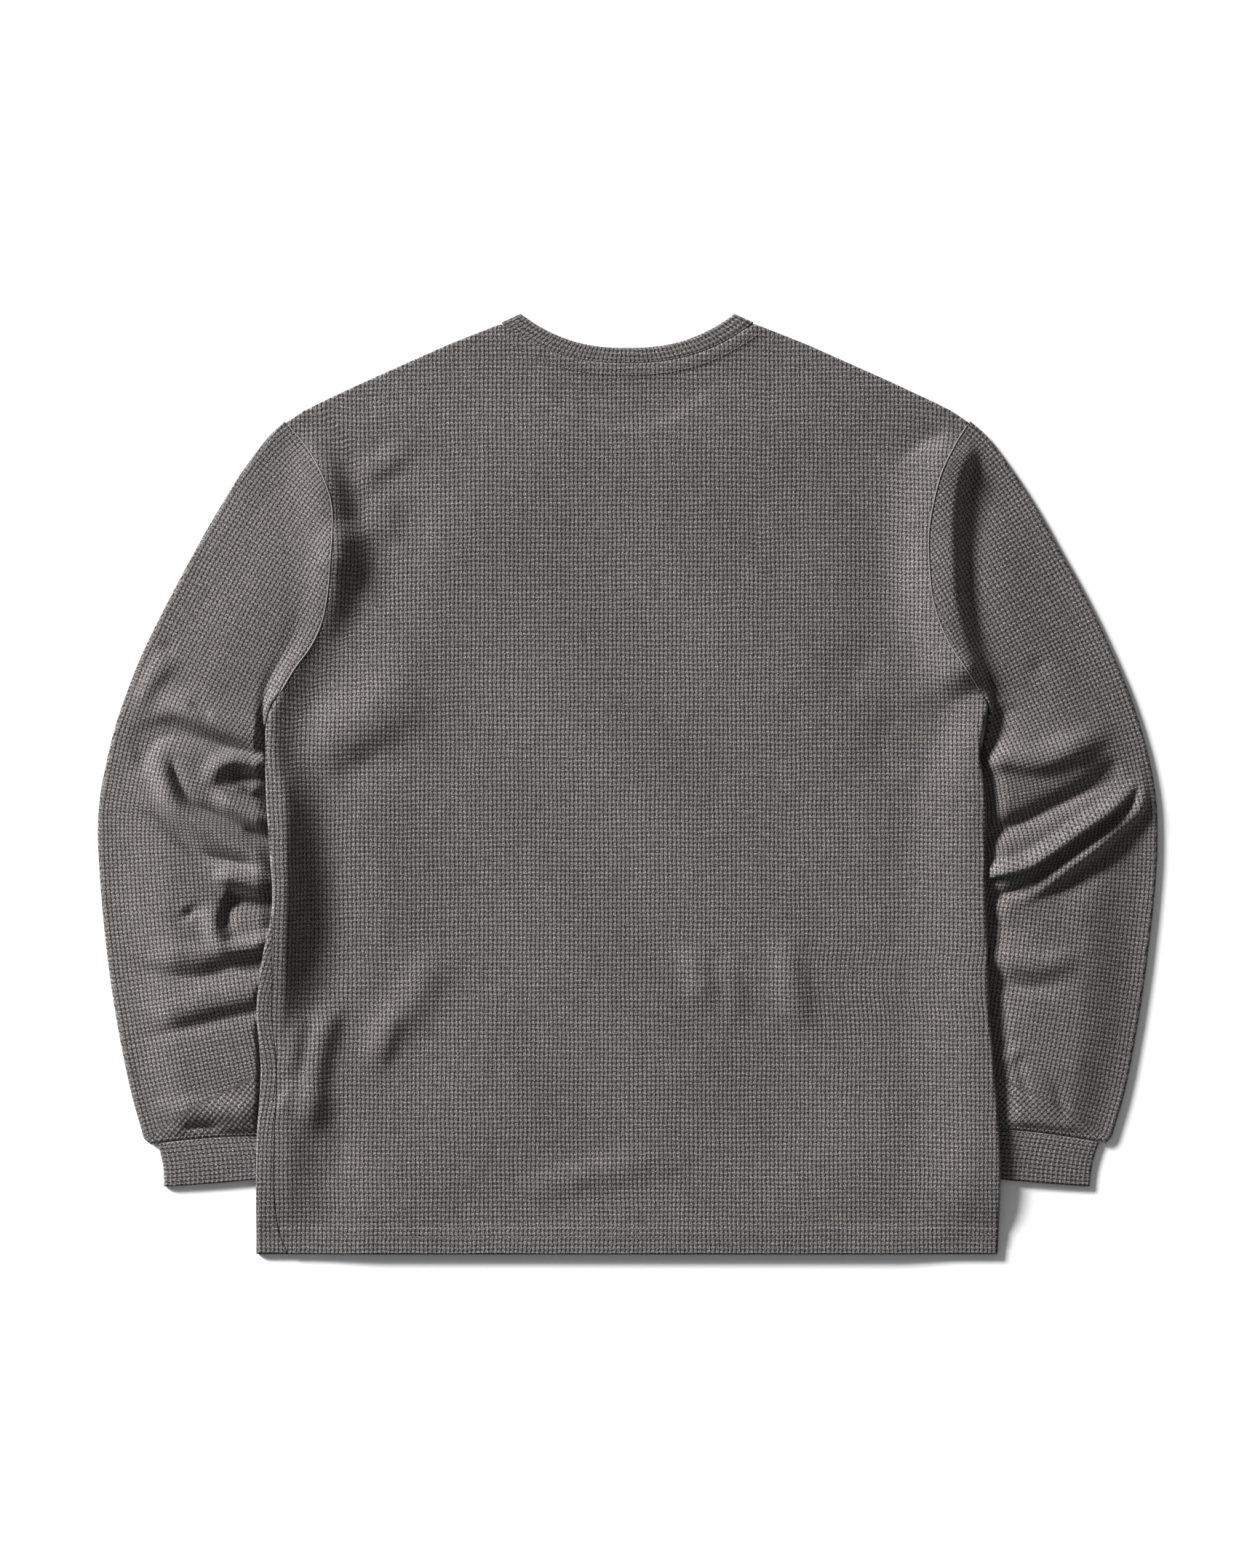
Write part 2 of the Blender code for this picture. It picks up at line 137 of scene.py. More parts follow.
# How far under the body each sleeve reaches, how high it holds the body's underside, and the width of the
# slope from there down to the flat middle.
PILES = np.array([
    # y, left reach, height, slope, right reach, height, slope
    (-361.5, -259.0, 0.0, 60, 264.0, 0.0, 45),
    (-349.0, -259.0, 0.5, 60, 264.0, 0.5, 45),
    (-318.0, -262.0, 4.8, 60, 268.0, 5.6, 60),
    (-250.0, -264.0, 6.0, 60, 272.0, 6.8, 64),
    (-187.0, -266.0, 8.4, 55, 272.0, 7.0, 64),
    (-140.0, -264.0, 14.5, 42, 272.0, 7.4, 64),
    (-97.0, -262.5, 18.4, 42, 272.0, 7.8, 64),
    (-51.0, -262.5, 18.0, 42, 272.0, 8.2, 62),
    (-9.0, -264.0, 14.0, 42, 272.0, 8.8, 58),
    (24.0, -272.0, 10.5, 44, 270.0, 9.2, 40),
    (61.0, -270.0, 8.0, 42, 276.0, 8.4, 40),
    (90.0, -254.3, 5.4, 35, 257.5, 5.6, 35),
    (130.0, -233.0, 2.6, 35, 236.0, 3.0, 35),
    (190.0, -226.2, 0.0, 35, 230.8, 0.0, 35),
    (277.5, -262.0, 0.0, 35, 262.0, 0.0, 35),
])

# How far past the side fold the seam lies: the front rolled onto the back, or the back rolled under.
ROLLS = np.array([
    # y, front over the left fold, back under the right fold
    (-361.5, 25.0, 9.0),
    (-345.0, 18.5, 9.0),
    (-326.0, 15.5, 9.0),
    (-270.0, 14.0, 9.0),
    (-200.0, 12.5, 8.0),
    (-150.0, 10.6, 8.0),
    (-125.0, 6.4, 8.0),
    (-100.0, 1.0, 7.0),
    (-72.0, -3.6, 7.0),
    (0.0, -4.0, 6.0),
    (68.0, -2.0, 2.0),
])

SHOULDER = np.array([
    # x from the middle, y
    (96.0, 353.6),
    (104.5, 350.6),
    (137.8, 337.4),
    (200.5, 309.4),
    (231.3, 295.0),
    (248.0, 286.8),
    (262.0, 277.5),
])

# Edges of the sleeves as they lie, x from the middle.
OUTER_FOLD = {
    "left": [
        (262.5, 278.5), (275.0, 267.4), (296.8, 239.4), (314.2, 211.4), (330.4, 183.4), (345.5, 155.4),
        (360.1, 127.4), (373.5, 99.4), (384.7, 71.4), (394.2, 43.4), (401.0, 15.4), (406.0, -12.6),
        (407.4, -35.0), (406.0, -68.6), (401.0, -124.6), (393.1, -180.6), (381.9, -236.6), (374.1, -264.6),
        (371.4, -273.0), (366.0, -277.6)],
    "right": [
        (262.5, 278.5), (275.5, 267.4), (296.8, 239.4), (314.7, 211.4), (330.4, 183.4), (346.1, 155.4),
        (360.6, 127.4), (373.5, 99.4), (385.3, 71.4), (394.8, 43.4), (402.1, 15.4), (406.6, -12.6),
        (407.7, -40.6), (406.6, -68.6), (401.0, -124.6), (393.1, -180.6), (382.5, -236.6), (374.6, -264.0),
        (372.0, -271.6), (367.5, -276.4)],
}
INNER_FOLD = {
    "left": [(266.5, 71.5), (272.4, 61.0), (276.6, 46.0), (276.0, 26.0), (271.0, 2.0), (267.5, -30.0),
             (266.0, -80.0), (264.0, -150.0), (261.0, -220.0), (259.5, -271.0)],
    "right": [(271.0, 71.5), (276.3, 61.0), (276.0, 46.0), (272.4, 26.0), (268.6, 2.0), (266.0, -30.0),
              (265.0, -80.0), (263.5, -150.0), (262.0, -220.0), (260.5, -264.0)],
}
CUFF_END = {"left": [(354.6, -309.6), (261.5, -301.5)], "right": [(353.6, -309.4), (262.5, -301.5)]}

# ---- folds ----
# Each is (points along it, width on its left, width on its right, height, fade-in and fade-out shares, lean
# to its right). Left and right are those of someone walking along it. A negative height is a trough.
ARMHOLE_RIDGES = {
    "left": [
        ([(-254, 274), (-241, 250), (-231, 222), (-227, 195), (-227, 165), (-231, 135), (-244, 102)],
         15, 22, 9.5, 0.3, 0.35, 0),
        ([(-220, 205), (-216, 182), (-218, 152)], 16, 20, 5.0, 0.4, 0.4, 0),
    ],
    "right": [
        ([(264, 268), (251, 234), (246, 203), (246, 172), (248, 142), (254, 116), (262, 92), (273, 71)],
         10, 30, 11.5, 0.12, 0.12, 0),
    ],
}
BODY_FOLDS = [
    ([(-262, 34), (-236, 34), (-208, 44), (-176, 60), (-142, 74)], 26, 22, 6.0, 0.35, 0.55, 0),
    ([(-230, 4), (-206, 14), (-176, 34)], 14, 18, -2.2, 0.3, 0.5, 0),
    ([(-222, -160), (-232, -188), (-238, -212), (-242, -244), (-247, -280)], 9, 10, 4.6, 0.25, 0.4, 0),
    ([(-246, -170), (-254, -200), (-258, -236)], 6, 8, 2.2, 0.4, 0.4, 0),
    ([(-172, -158), (-184, -190), (-196, -226)], 9, 12, 4.0, 0.4, 0.4, 0),
    ([(-140, -120), (-160, -160), (-176, -206)], 12, 14, 2.8, 0.4, 0.4, 0),
    ([(-214, -264), (-232, -290), (-248, -312)], 12, 12, -3.4, 0.4, 0.4, 0),
    ([(-270, -238), (-248, -248), (-220, -256)], 16, 12, 3.0, 0.2, 0.4, 0),
    ([(246, 272), (222, 262), (196, 250)], 8, 10, -3.6, 0.2, 0.5, 0),
    ([(236, 56), (208, 32), (204, -4)], 13, 16, -4.0, 0.4, 0.5, 0),
    ([(200, 112), (178, 92), (166, 62)], 13, 16, -2.0, 0.4, 0.5, 0),
    ([(50, -118), (56, -146), (66, -175)], 8, 10, 3.4, 0.4, 0.4, 0),
    ([(76, -124), (80, -150), (86, -190)], 7, 8, 2.2, 0.4, 0.4, 0),
    ([(120, -108), (126, -146), (137, -196)], 8, 10, 4.0, 0.4, 0.4, 0),
    ([(-98, -316), (-30, -300), (46, -286)], 10, 12, 2.0, 0.4, 0.4, 0),
    ([(-186, 236), (-188, 205), (-192, 180)], 14, 14, 2.3, 0.4, 0.4, 0),
    ([(-160, 262), (-190, 244), (-214, 222)], 9, 10, 2.4, 0.4, 0.4, 0),
]
# How many times deeper each sleeve's folds are than the heights below, and how far they are all moved.
FOLD_GAIN = {"left": 1.9, "right": 1.3}
FOLD_SHIFT = (1.5, -3.0)
SLEEVE_FOLDS = {
    "left": [
        ([(-376, 53), (-360, 60), (-342, 59), (-317, 48), (-292, 36), (-276, 28)], 13, 7, 3.9, 0.4, 0, 0),
        ([(-374, 25), (-369, 37), (-355, 43), (-335, 39), (-314, 33), (-292, 27), (-278, 22)],
         9, 6, -4.4, 0.1, 0.1, 0),
        ([(-371, 38), (-375, 24), (-371, 8)], 6, 5, -2.6, 0.3, 0.5, 0),
        ([(-369, 30), (-360, 10), (-350, -9), (-333, -24), (-312, -38), (-291, -51), (-270, -64)],
         8, 8, 4.6, 0.3, 0, 0),
        ([(-353, 29), (-347, 5), (-337, -12), (-318, -20), (-299, -30), (-274, -42)], 5, 5, -3.0, 0.2, 0, 0),
        ([(-299, -30), (-286, -37), (-272, -43)], 5, 5, -3.4, 0.5, 0, 0),
        ([(-341, 67), (-330, 61), (-317, 53)], 4, 4, -1.6, 0.4, 0.4, 0),
        ([(-320, -2), (-316, 14), (-303, 21), (-288, 20), (-270, 16)], 8, 5, 3.6, 0.3, 0, 0),
        ([(-309, 8), (-301, 8), (-290, 8), (-273, 6)], 3, 4, -2.8, 0.2, 0, 0),
        ([(-300, 2), (-288, -6), (-274, -16)], 3, 4, -1.6, 0.3, 0, 0),
        ([(-318, 2), (-312, -8), (-298, -17), (-278, -27)], 5, 6, 3.6, 0.4, 0, 0),
        ([(-386, -15), (-364, -24), (-347, -37), (-328, -51), (-301, -57), (-276, -60)],
         6, 5, -3.6, 0.4, 0.2, 0),
        ([(-290, -2), (-276, -12)], 4, 4, -2.0, 0.4, 0, 0),
        ([(-322, -67), (-300, -69), (-270, -77)], 9, 6, 4.2, 0.3, 0, 0),
        ([(-311, -82), (-291, -87), (-268, -91)], 3.5, 9, -4.6, 0.1, 0, 0),
        ([(-308, -84), (-310, -98), (-313, -113)], 6, 4, -3.0, 0.15, 0.4, 0),
        ([(-321, -86), (-319, -106), (-310, -122), (-291, -122), (-268, -115)], 7, 7, 4.2, 0.3, 0, 0),
        ([(-341, -90), (-333, -102)], 7, 7, -1.6, 0.5, 0.5, 0),
        ([(-372, -124), (-333, -130), (-300, -126)], 9, 9, 1.8, 0.4, 0.4, 0),
        ([(-397, -129), (-374, -139), (-333, -145), (-308, -138), (-276, -129)], 8, 7, -2.0, 0.5, 0, 0),
        ([(-380, -180), (-353, -173), (-312, -164), (-278, -156)], 12, 9, 2.0, 0.5, 0, 0),
        ([(-386, -193), (-353, -187), (-333, -182), (-308, -175), (-278, -170)], 8, 6, -1.8, 0.5, 0, 0),
        ([(-372, -245), (-330, -247), (-280, -250)], 9, 9, 2.0, 0.4, 0.2, 0),
        ([(-348, -264), (-330, -261), (-308, -262)], 3.5, 3.5, -2.2, 0.3, 0.4, 0),
        ([(-347, 108), (-368, 82), (-388, 54)], 8, 8, 1.8, 0.4, 0.4, 0),
        ([(-362, 103), (-347, 115)], 5, 5, -1.3, 0.5, 0.5, 0),
    ],
    "right": [
        ([(286, 246), (270, 216), (264, 186), (264, 150), (270, 118), (281, 92)], 12, 6, -2.4, 0.2, 0.3, 0),
        ([(288, -96), (287, -150), (291, -210), (294, -262)], 12, 6, -2.0, 0.3, 0.3, 0),
        ([(282, 66), (284, 44), (276, 18)], 10, 5, -4.0, 0.2, 0.3, 0),
        ([(325, 103), (304, 83)], 8, 8, -1.4, 0.5, 0.5, 0),
        ([(268, 22), (290, 22), (314, 20), (335, 27), (356, 37), (374, 50)], 12, 8, 5.0, 0.1, 0.4, 0),
        ([(374, 26), (367, 10), (345, -4), (319, -17), (303, -25), (281, -33), (266, -38)],
         6, 7, -7.0, 0.15, 0, 0),
        ([(266, -66), (281, -62), (303, -57), (323, -45), (344, -30), (365, -16), (384, -1), (394, 14)],
         5, 4, 6.8, 0, 0.3, 4),
        ([(268, -84), (290, -80), (304, -74), (325, -61), (346, -46), (367, -29), (385, -15), (392, -4)],
         4, 5, -4.5, 0.1, 0.25, 0),
        ([(284, -93), (312, -78), (340, -57), (361, -42), (376, -29), (392, -15), (398, 3), (395, 23),
          (389, 40)], 6, 6, 5.0, 0.35, 0.3, 0),
        ([(309, -85), (330, -76), (350, -63), (371, -48), (390, -33), (399, -17), (403, -2)],
         4, 10, -4.0, 0.35, 0.3, 0),
        ([(270, -97), (290, -108), (308, -118)], 7, 7, -2.0, 0.1, 0.5, 0),
        ([(270, -130), (300, -134), (320, -135), (354, -128)], 9, 9, 2.6, 0.1, 0.4, 0),
        ([(270, -146), (311, -153), (342, -149)], 7, 7, -2.6, 0.1, 0.5, 0),
        ([(294, -198), (301, -222), (310, -248)], 5, 5, -1.6, 0.4, 0.4, 0),
        ([(322, -222), (330, -238), (337, -260)], 5, 5, -1.3, 0.4, 0.4, 0),
        ([(278, -205), (292, -206), (306, -196)], 5, 5, 1.2, 0.3, 0.5, 0),
    ],
}


# ---- curves ----

def ease(t):
    """A smooth step from 0 at t = 0 to 1 at t = 1."""
    t = np.clip(t, 0.0, 1.0)
    return t * t * (3 - 2 * t)


def column(table, index, y):
    """A table's column at heights y, as a smooth curve through its rows."""
    rows, values = table[:, 0], table[:, index]
    slopes = np.gradient(values, rows)
    k = np.clip(np.searchsorted(rows, y) - 1, 0, len(rows) - 2)
    step = rows[k + 1] - rows[k]
    t = np.clip((y - rows[k]) / step, 0.0, 1.0)
    start = (2 * t**3 - 3 * t**2 + 1) * values[k] + (t**3 - 2 * t**2 + t) * step * slopes[k]
    return start + (3 * t**2 - 2 * t**3) * values[k + 1] + (t**3 - t**2) * step * slopes[k + 1]


def along_curve(points, shares):
    """Points at shares of the length of a smooth curve through the given ones."""
    points = np.asarray(points, float)
    knots = np.concatenate([[0], np.cumsum(np.sqrt(np.linalg.norm(np.diff(points, axis=0), axis=1)))])
    fine = np.linspace(0, knots[-1], 1200)
    line = np.stack([column(np.column_stack([knots, points[:, i]]), 1, fine) for i in (0, 1)], 1)
    length = np.concatenate([[0], np.cumsum(np.linalg.norm(np.diff(line, axis=0), axis=1))])
    at = np.asarray(shares) * length[-1]
    return np.stack([np.interp(at, length, line[:, i]) for i in (0, 1)], 1)


def directions(line):
    """Unit direction of a line at each of its points."""
    direction = np.gradient(line, axis=0)
    return direction / np.linalg.norm(direction, axis=1)[:, None]


def to_the_right(line):
    """Unit direction square to a plan line at each of its points, to the right of its way."""
    way = directions(line)
    return np.column_stack([way[:, 1], -way[:, 0]])


def moved_out(line, distance):
    """A plan line moved to the right of its direction."""
    return line + to_the_right(line) * distance


def at_least(values, floor, sharpness):
    """Values kept above a floor, rounded where they come near it."""
    return floor + np.logaddexp(0, (values - floor) * sharpness) / sharpness


def at_most(values, ceiling, sharpness):
    """Values kept below a ceiling, rounded where they come near it."""
    return -at_least(-values, -ceiling, sharpness)


def line_length(line):
    """Length of a line of points."""
    return np.linalg.norm(np.diff(line, axis=0), axis=1).sum()


def fold_relief(x, y, folds):
    """Height and sideways lean that a list of folds gives to points in plan."""
    shape = x.shape
    x, y = x.ravel(), y.ravel()
    height, lean = np.zeros_like(x), np.zeros((len(x), 2))
    samples = 40
    t = np.linspace(0, 1, samples)
    for points, left, right, rise, fade_in, fade_out, tilt in folds:
        line = along_curve(points, t)
        direction = directions(line)
        reach = 3.2 * max(left, right)  # where the fold has died out
        near = ((x > line[:, 0].min() - reach) & (x < line[:, 0].max() + reach)
                & (y > line[:, 1].min() - reach) & (y < line[:, 1].max() + reach))
        if not near.any():
            continue
        px, py = x[near], y[near]
        dx, dy = px[:, None] - line[:, 0], py[:, None] - line[:, 1]
        k = (dx * dx + dy * dy).argmin(1)
        rows = np.arange(len(k))
        dx, dy, way = dx[rows, k], dy[rows, k], direction[k]
        along = dx * way[:, 0] + dy * way[:, 1]
        inner = (k > 0) & (k < samples - 1)
        gap = np.where(inner, np.abs(dy * way[:, 0] - dx * way[:, 1]), np.hypot(dx, dy))
        on_left = way[:, 0] * dy - way[:, 1] * dx > 0
        width = np.where(on_left, left, right)
        share = np.clip(t[k] + np.where(inner, along / line_length(line), 0), 0, 1)
        fade = np.ones_like(share)
        if fade_in:
            fade *= ease(share / fade_in)
        if fade_out:
            fade *= ease((1 - share) / fade_out)
        roundness = 2.4 if rise > 0 else 1.5
        amount = np.exp(-((gap / width) ** roundness)) * fade
        height[near] += rise * amount
        if tilt:
            lean[near] += (tilt * amount)[:, None] * np.column_stack([way[:, 1], -way[:, 0]])
    return height.reshape(shape), lean.reshape(shape + (2,))


def swell(x, y, phase):
    """Slow unevenness of cloth that has been laid by hand, -1 to 1."""
    return (np.sin(x / 41 + 1.7 * np.sin(y / 97 + phase)) * np.cos(y / 53 + phase + 1.3 * np.sin(x / 71))
            + 0.5 * np.sin(x / 23 + y / 31 + 2 * phase)) / 1.5


# ---- the body's two layers ----

def side_x(y, side):
    """Distance of a side edge from the middle."""
    return side * column(SIDES, 1 if side < 0 else 2, y)


def pile(x, y):
    """How high the sleeves under it hold the body's underside."""
    left_reach, left_high, left_slope, right_reach, right_high, right_slope = (
        column(PILES, i, y) for i in range(1, 7))
    left = np.maximum(left_high, 0) * slope_down((x - left_reach) / left_slope)
    right = np.maximum(right_high, 0) * ease(1 - (right_reach - x) / right_slope)
    dish = ease(1 - (x - left_reach) / DISH_WIDTH) + ease(1 - (right_reach - x) / DISH_WIDTH)
    return left + right + DISH * dish * ease((y - HEM_Y) / 90) * ease((170 - y) / 100)


def slope_down(t):
    """From 1 at t = 0 to 0 at t = 1: steep behind a rounded crest, then running out flat."""
    t, soft = np.clip(t, 0, 1), 0.1
    return (1 - (np.hypot(t, soft) - soft) / (np.hypot(1, soft) - soft)) ** 2.4


def front_z(x, y):
    """Height of the front panel, which lies face down on the floor and the sleeves."""
    return CLOTH / 2 + pile(x, y)


def armhole_relief(x, y):
    """Height of the ridges that stand along both armholes, on the body and on the sleeves."""
    left, _ = fold_relief(x, y, ARMHOLE_RIDGES["left"])
    right, _ = fold_relief(x, y, ARMHOLE_RIDGES["right"])
    return left + right


def back_z(x, y):
    """Height of the back panel, over the front, with its folds."""
    inside = np.minimum(side_x(y, -1) + x, side_x(y, 1) - x)
    air = EDGE_AIR + BODY_AIR * ease((inside - SIDE_BAND) / 60) * ease((325 - y) / 60)
    folds, _ = fold_relief(x, y, BODY_FOLDS)
    uneven = BODY_SWELL * swell(x, y, 0.4) * ease((inside - 20) / 60) * ease((320 - y) / 60)
    lift = (armhole_relief(x, y) + folds + uneven) * ease((y - HEM_Y) / 40)
    lift = lift - NECK_MARK * over_front_neck(x, y)
    return front_z(x, y) + CLOTH + at_least(air + lift, UNDER_GAP, 2.0)


def over_front_neck(x, y):
    """1 where the back lies over the front's neck opening, whose edge shows through it."""
    above_edge = y - neck_edge(x, FRONT_DROP)
    return (ease((above_edge - 2) / 7) * ease((NECK_HALF - 6 - np.abs(x)) / 14)
            * ease((NECK_Y - 42 - y) / 12))


def neck_edge(x, drop, half=NECK_HALF, top=NECK_Y):
    """How far up the plan a neck edge is at x."""
    return top - drop * (1 - np.clip(np.abs(x) / half, 0, 1) ** NECK_POWER)


def neck_curve(half, top, drop, xs):
    """A neck edge in plan, from shoulder to shoulder."""
    return np.column_stack([xs, neck_edge(xs, drop, half, top)])


def turned(y):
    """0 above the underarm, where the side is a seam, and 1 where it is a fold."""
    return ease((UNDERARM_Y - y) / SIDE_TURN)


def side_strip(y, side, is_front, flat_steps, bend_steps, roll_steps):
    """One row from the side band's inner end out to the panel's edge.

    Gives x, the share of the upper layer and the length of cloth from the inner end.
    """
    inner, turn = side_x(y, side) - SIDE_BAND, turned(y)
    edge = side_x(y, side) - CLOTH / 2 * turn
    radius = (CLOTH + EDGE_AIR + SLACK) / 2 * turn
    sign = 1 if is_front == (side < 0) else -1
    roll = column(ROLLS, 1 if side < 0 else 2, y) * turned(y + SIDE_TURN / 2) * sign
    bend = np.pi * radius
    reach = bend / 2 + roll - SEAM_GAP / 2
    start = edge - radius
    steps = bend_steps + roll_steps
    over = np.linspace(inner - start, reach, flat_steps + steps + 1)[1:]
    if reach > 0:
        # Closer columns round the fold, brought in gradually so that neighbouring rows keep in step.
        share = np.linspace(0, 1, steps + 1)[1:] ** (1 + 0.6 * ease((reach - bend) / 10))
        close = np.concatenate([np.linspace(inner - start, 0, flat_steps + 1)[1:], reach * share])
        over = over + (close - over) * ease(reach / 8)
    angle = np.clip(over / max(radius, 1e-9), 0, np.pi)
    x = np.where(over <= 0, start + over, start + radius * np.sin(angle))
    x = np.where(over > bend, start - (over - bend), x)
    upper = (1 - np.cos(angle)) / 2
    return side * x, upper if is_front else 1 - upper, over - (inner - start)


def body_grid(is_front, half_columns, lower_rows, upper_rows, strip_steps):
    """Plan, share of the upper layer and flat cloth coordinates of a body panel's rows."""
    shares = np.concatenate([-half_columns[:0:-1], half_columns])
    plan, upper, cut = [], [], []
    level = 0.0 if is_front else 1.0
    for y in lower_rows:
        xl, ul, sl = side_strip(y, -1, is_front, *strip_steps)
        xr, ur, sr = side_strip(y, 1, is_front, *strip_steps)
        inner_l, inner_r = side_x(y, -1) - SIDE_BAND, side_x(y, 1) - SIDE_BAND
        middle = np.where(shares < 0, shares * inner_l, shares * inner_r)
        xs = np.concatenate([xl[::-1], middle, xr])
        plan.append(np.column_stack([xs, np.full_like(xs, y)]))
        upper.append(np.concatenate([ul[::-1], np.full_like(middle, level), ur]))
        flat_xs = np.concatenate([-inner_l - sl[::-1], middle, inner_r + sr])
        cut.append(np.column_stack([flat_xs, np.full_like(xs, y)]))
    strip = sl / sl[-1]
    tops = np.concatenate([
        -(TIP_X - SIDE_BAND * (1 - strip[::-1])),
        shares * (TIP_X - SIDE_BAND),
        TIP_X - SIDE_BAND * (1 - strip)])
    at_neck = np.abs(tops) < NECK_HALF - 0.01
    drop = FRONT_DROP if is_front else BACK_DROP
    top = np.interp(np.abs(tops), SHOULDER[:, 0], SHOULDER[:, 1])
    neck = moved_out(neck_curve(NECK_HALF, NECK_Y, drop, tops[at_neck]), SEAM_GAP)
    top_x = tops.copy()
    top[at_neck], top_x[at_neck] = neck[:, 1], neck[:, 0]
    radius = (CLOTH + EDGE_AIR) / 2
    for i in range(1, upper_rows + CLOSING_ROWS + 1):
        v = min(i / upper_rows, 1.0)
        closing = max(i - upper_rows, 0) / CLOSING_ROWS
        angle = closing * np.radians(84)
        y_side = UNDERARM_Y + v * (TIP_Y - UNDERARM_Y)
        left, right = side_x(y_side, -1), side_x(y_side, 1)
        xs = np.concatenate([
            -(left - SIDE_BAND * (1 - strip[::-1])),
            np.where(shares < 0, shares * (left - SIDE_BAND), shares * (right - SIDE_BAND)),
            right - SIDE_BAND * (1 - strip)])
        xs = xs + (top_x - tops) * v
        flat_top = top - radius
        ys = UNDERARM_Y + v * (flat_top - UNDERARM_Y)
        if angle:
            ys = flat_top + radius * np.where(at_neck, closing, np.sin(angle))
        share = np.where(at_neck, 1.0, (1 + np.cos(angle)) / 2)
        plan.append(np.column_stack([xs, ys]))
        upper.append(share if not is_front else 1 - share)
        cut.append(np.column_stack([xs, ys + np.where(at_neck, 0, radius * angle - radius * np.sin(angle))]))
    return np.array(plan), np.array(upper), np.array(cut)


def body_points(is_front, *grid):
    """A body panel's points and flat cloth coordinates."""
    plan, upper, cut = body_grid(is_front, *grid)
    x, y = plan[..., 0], plan[..., 1]
    # The front's outer side lies down, so its roll rests on the back where it comes over the fold.
    z = front_z(x, y) * (1 - upper) + back_z(x, y) * upper
    if is_front:
        return np.dstack([x, y, z]), cut
    z = z + HEM_RISE * ease((HEM_Y + HEM_DEPTH + 1.5 - y) / 2.5) * upper
    z = z + neck_strip(x, y) * upper
    points = np.dstack([x, y, z])
    middle = cut.shape[1] // 2
    across, up = excess(points, 1), excess(points, 0)
    return points, cut + np.dstack([across - across[:, middle:middle + 1], up]) * upper[..., None]


def neck_strip(x, y):
    """The rounded ridge along the back neck seam, over its covered allowance."""
    share = np.clip(np.abs(x) / NECK_HALF, 0, 1)
    slope = BACK_DROP * NECK_POWER / NECK_HALF * share ** (NECK_POWER - 1)
    depth = (neck_edge(x, BACK_DROP) - y) / np.hypot(1, slope)
    inside = (np.abs(x) < NECK_HALF + 4) & (depth > -1)
    return np.where(inside, STRIP_RISE * ease(depth / 1.6) * ease((NECK_STRIP + 1.4 - depth) / 2.2), 0)


# ---- sleeves ----

def sleeve_plan(name, side, columns, rows):
    """Plan of a sleeve's layer between armhole, outer fold, cuff seam and inner fold, x from the middle."""
    inset = (2 * CLOTH + SLEEVE_AIR) / 2
    v = np.linspace(0, 1, rows)
    heights = np.linspace(TIP_Y, UNDERARM_Y, 200)
    edge = moved_out(np.column_stack([side_x(heights, side), heights]), -SEAM_GAP)
    start = along_curve(edge, np.linspace(0, 1, columns))
    outer = moved_out(along_curve(OUTER_FOLD[name], v), inset)
    inner = along_curve(INNER_FOLD[name], v**FAN)
    reach = np.linalg.norm(inner - inner[0], axis=1)
    inner = moved_out(inner, -inset * ease(reach / INNER_FOLD_START)[:, None])
    fade = (1 - v)[:, None]
    outer += (start[0] - outer[0]) * fade**24
    inner += (start[-1] - inner[0]) * fade**40
    u = np.linspace(0, 1, columns)[:, None]
    end = outer[-1] * (1 - u) + inner[-1] * u
    end[:, 1] += CUFF_BOW * np.sin(np.pi * u[:, 0])
    # Rows run straight between the folds, but for the armhole's bend, which dies out sooner at the inner one.
    bend = start - (start[0] * (1 - u) + start[-1] * u)
    bow = end - (end[0] * (1 - u) + end[-1] * u)
    u, w = u[None], v[:, None, None]
    return (1 - u) * outer[:, None] + u * inner[:, None] + bend * (1 - w) ** (1 + 9 * u**3) + bow * w


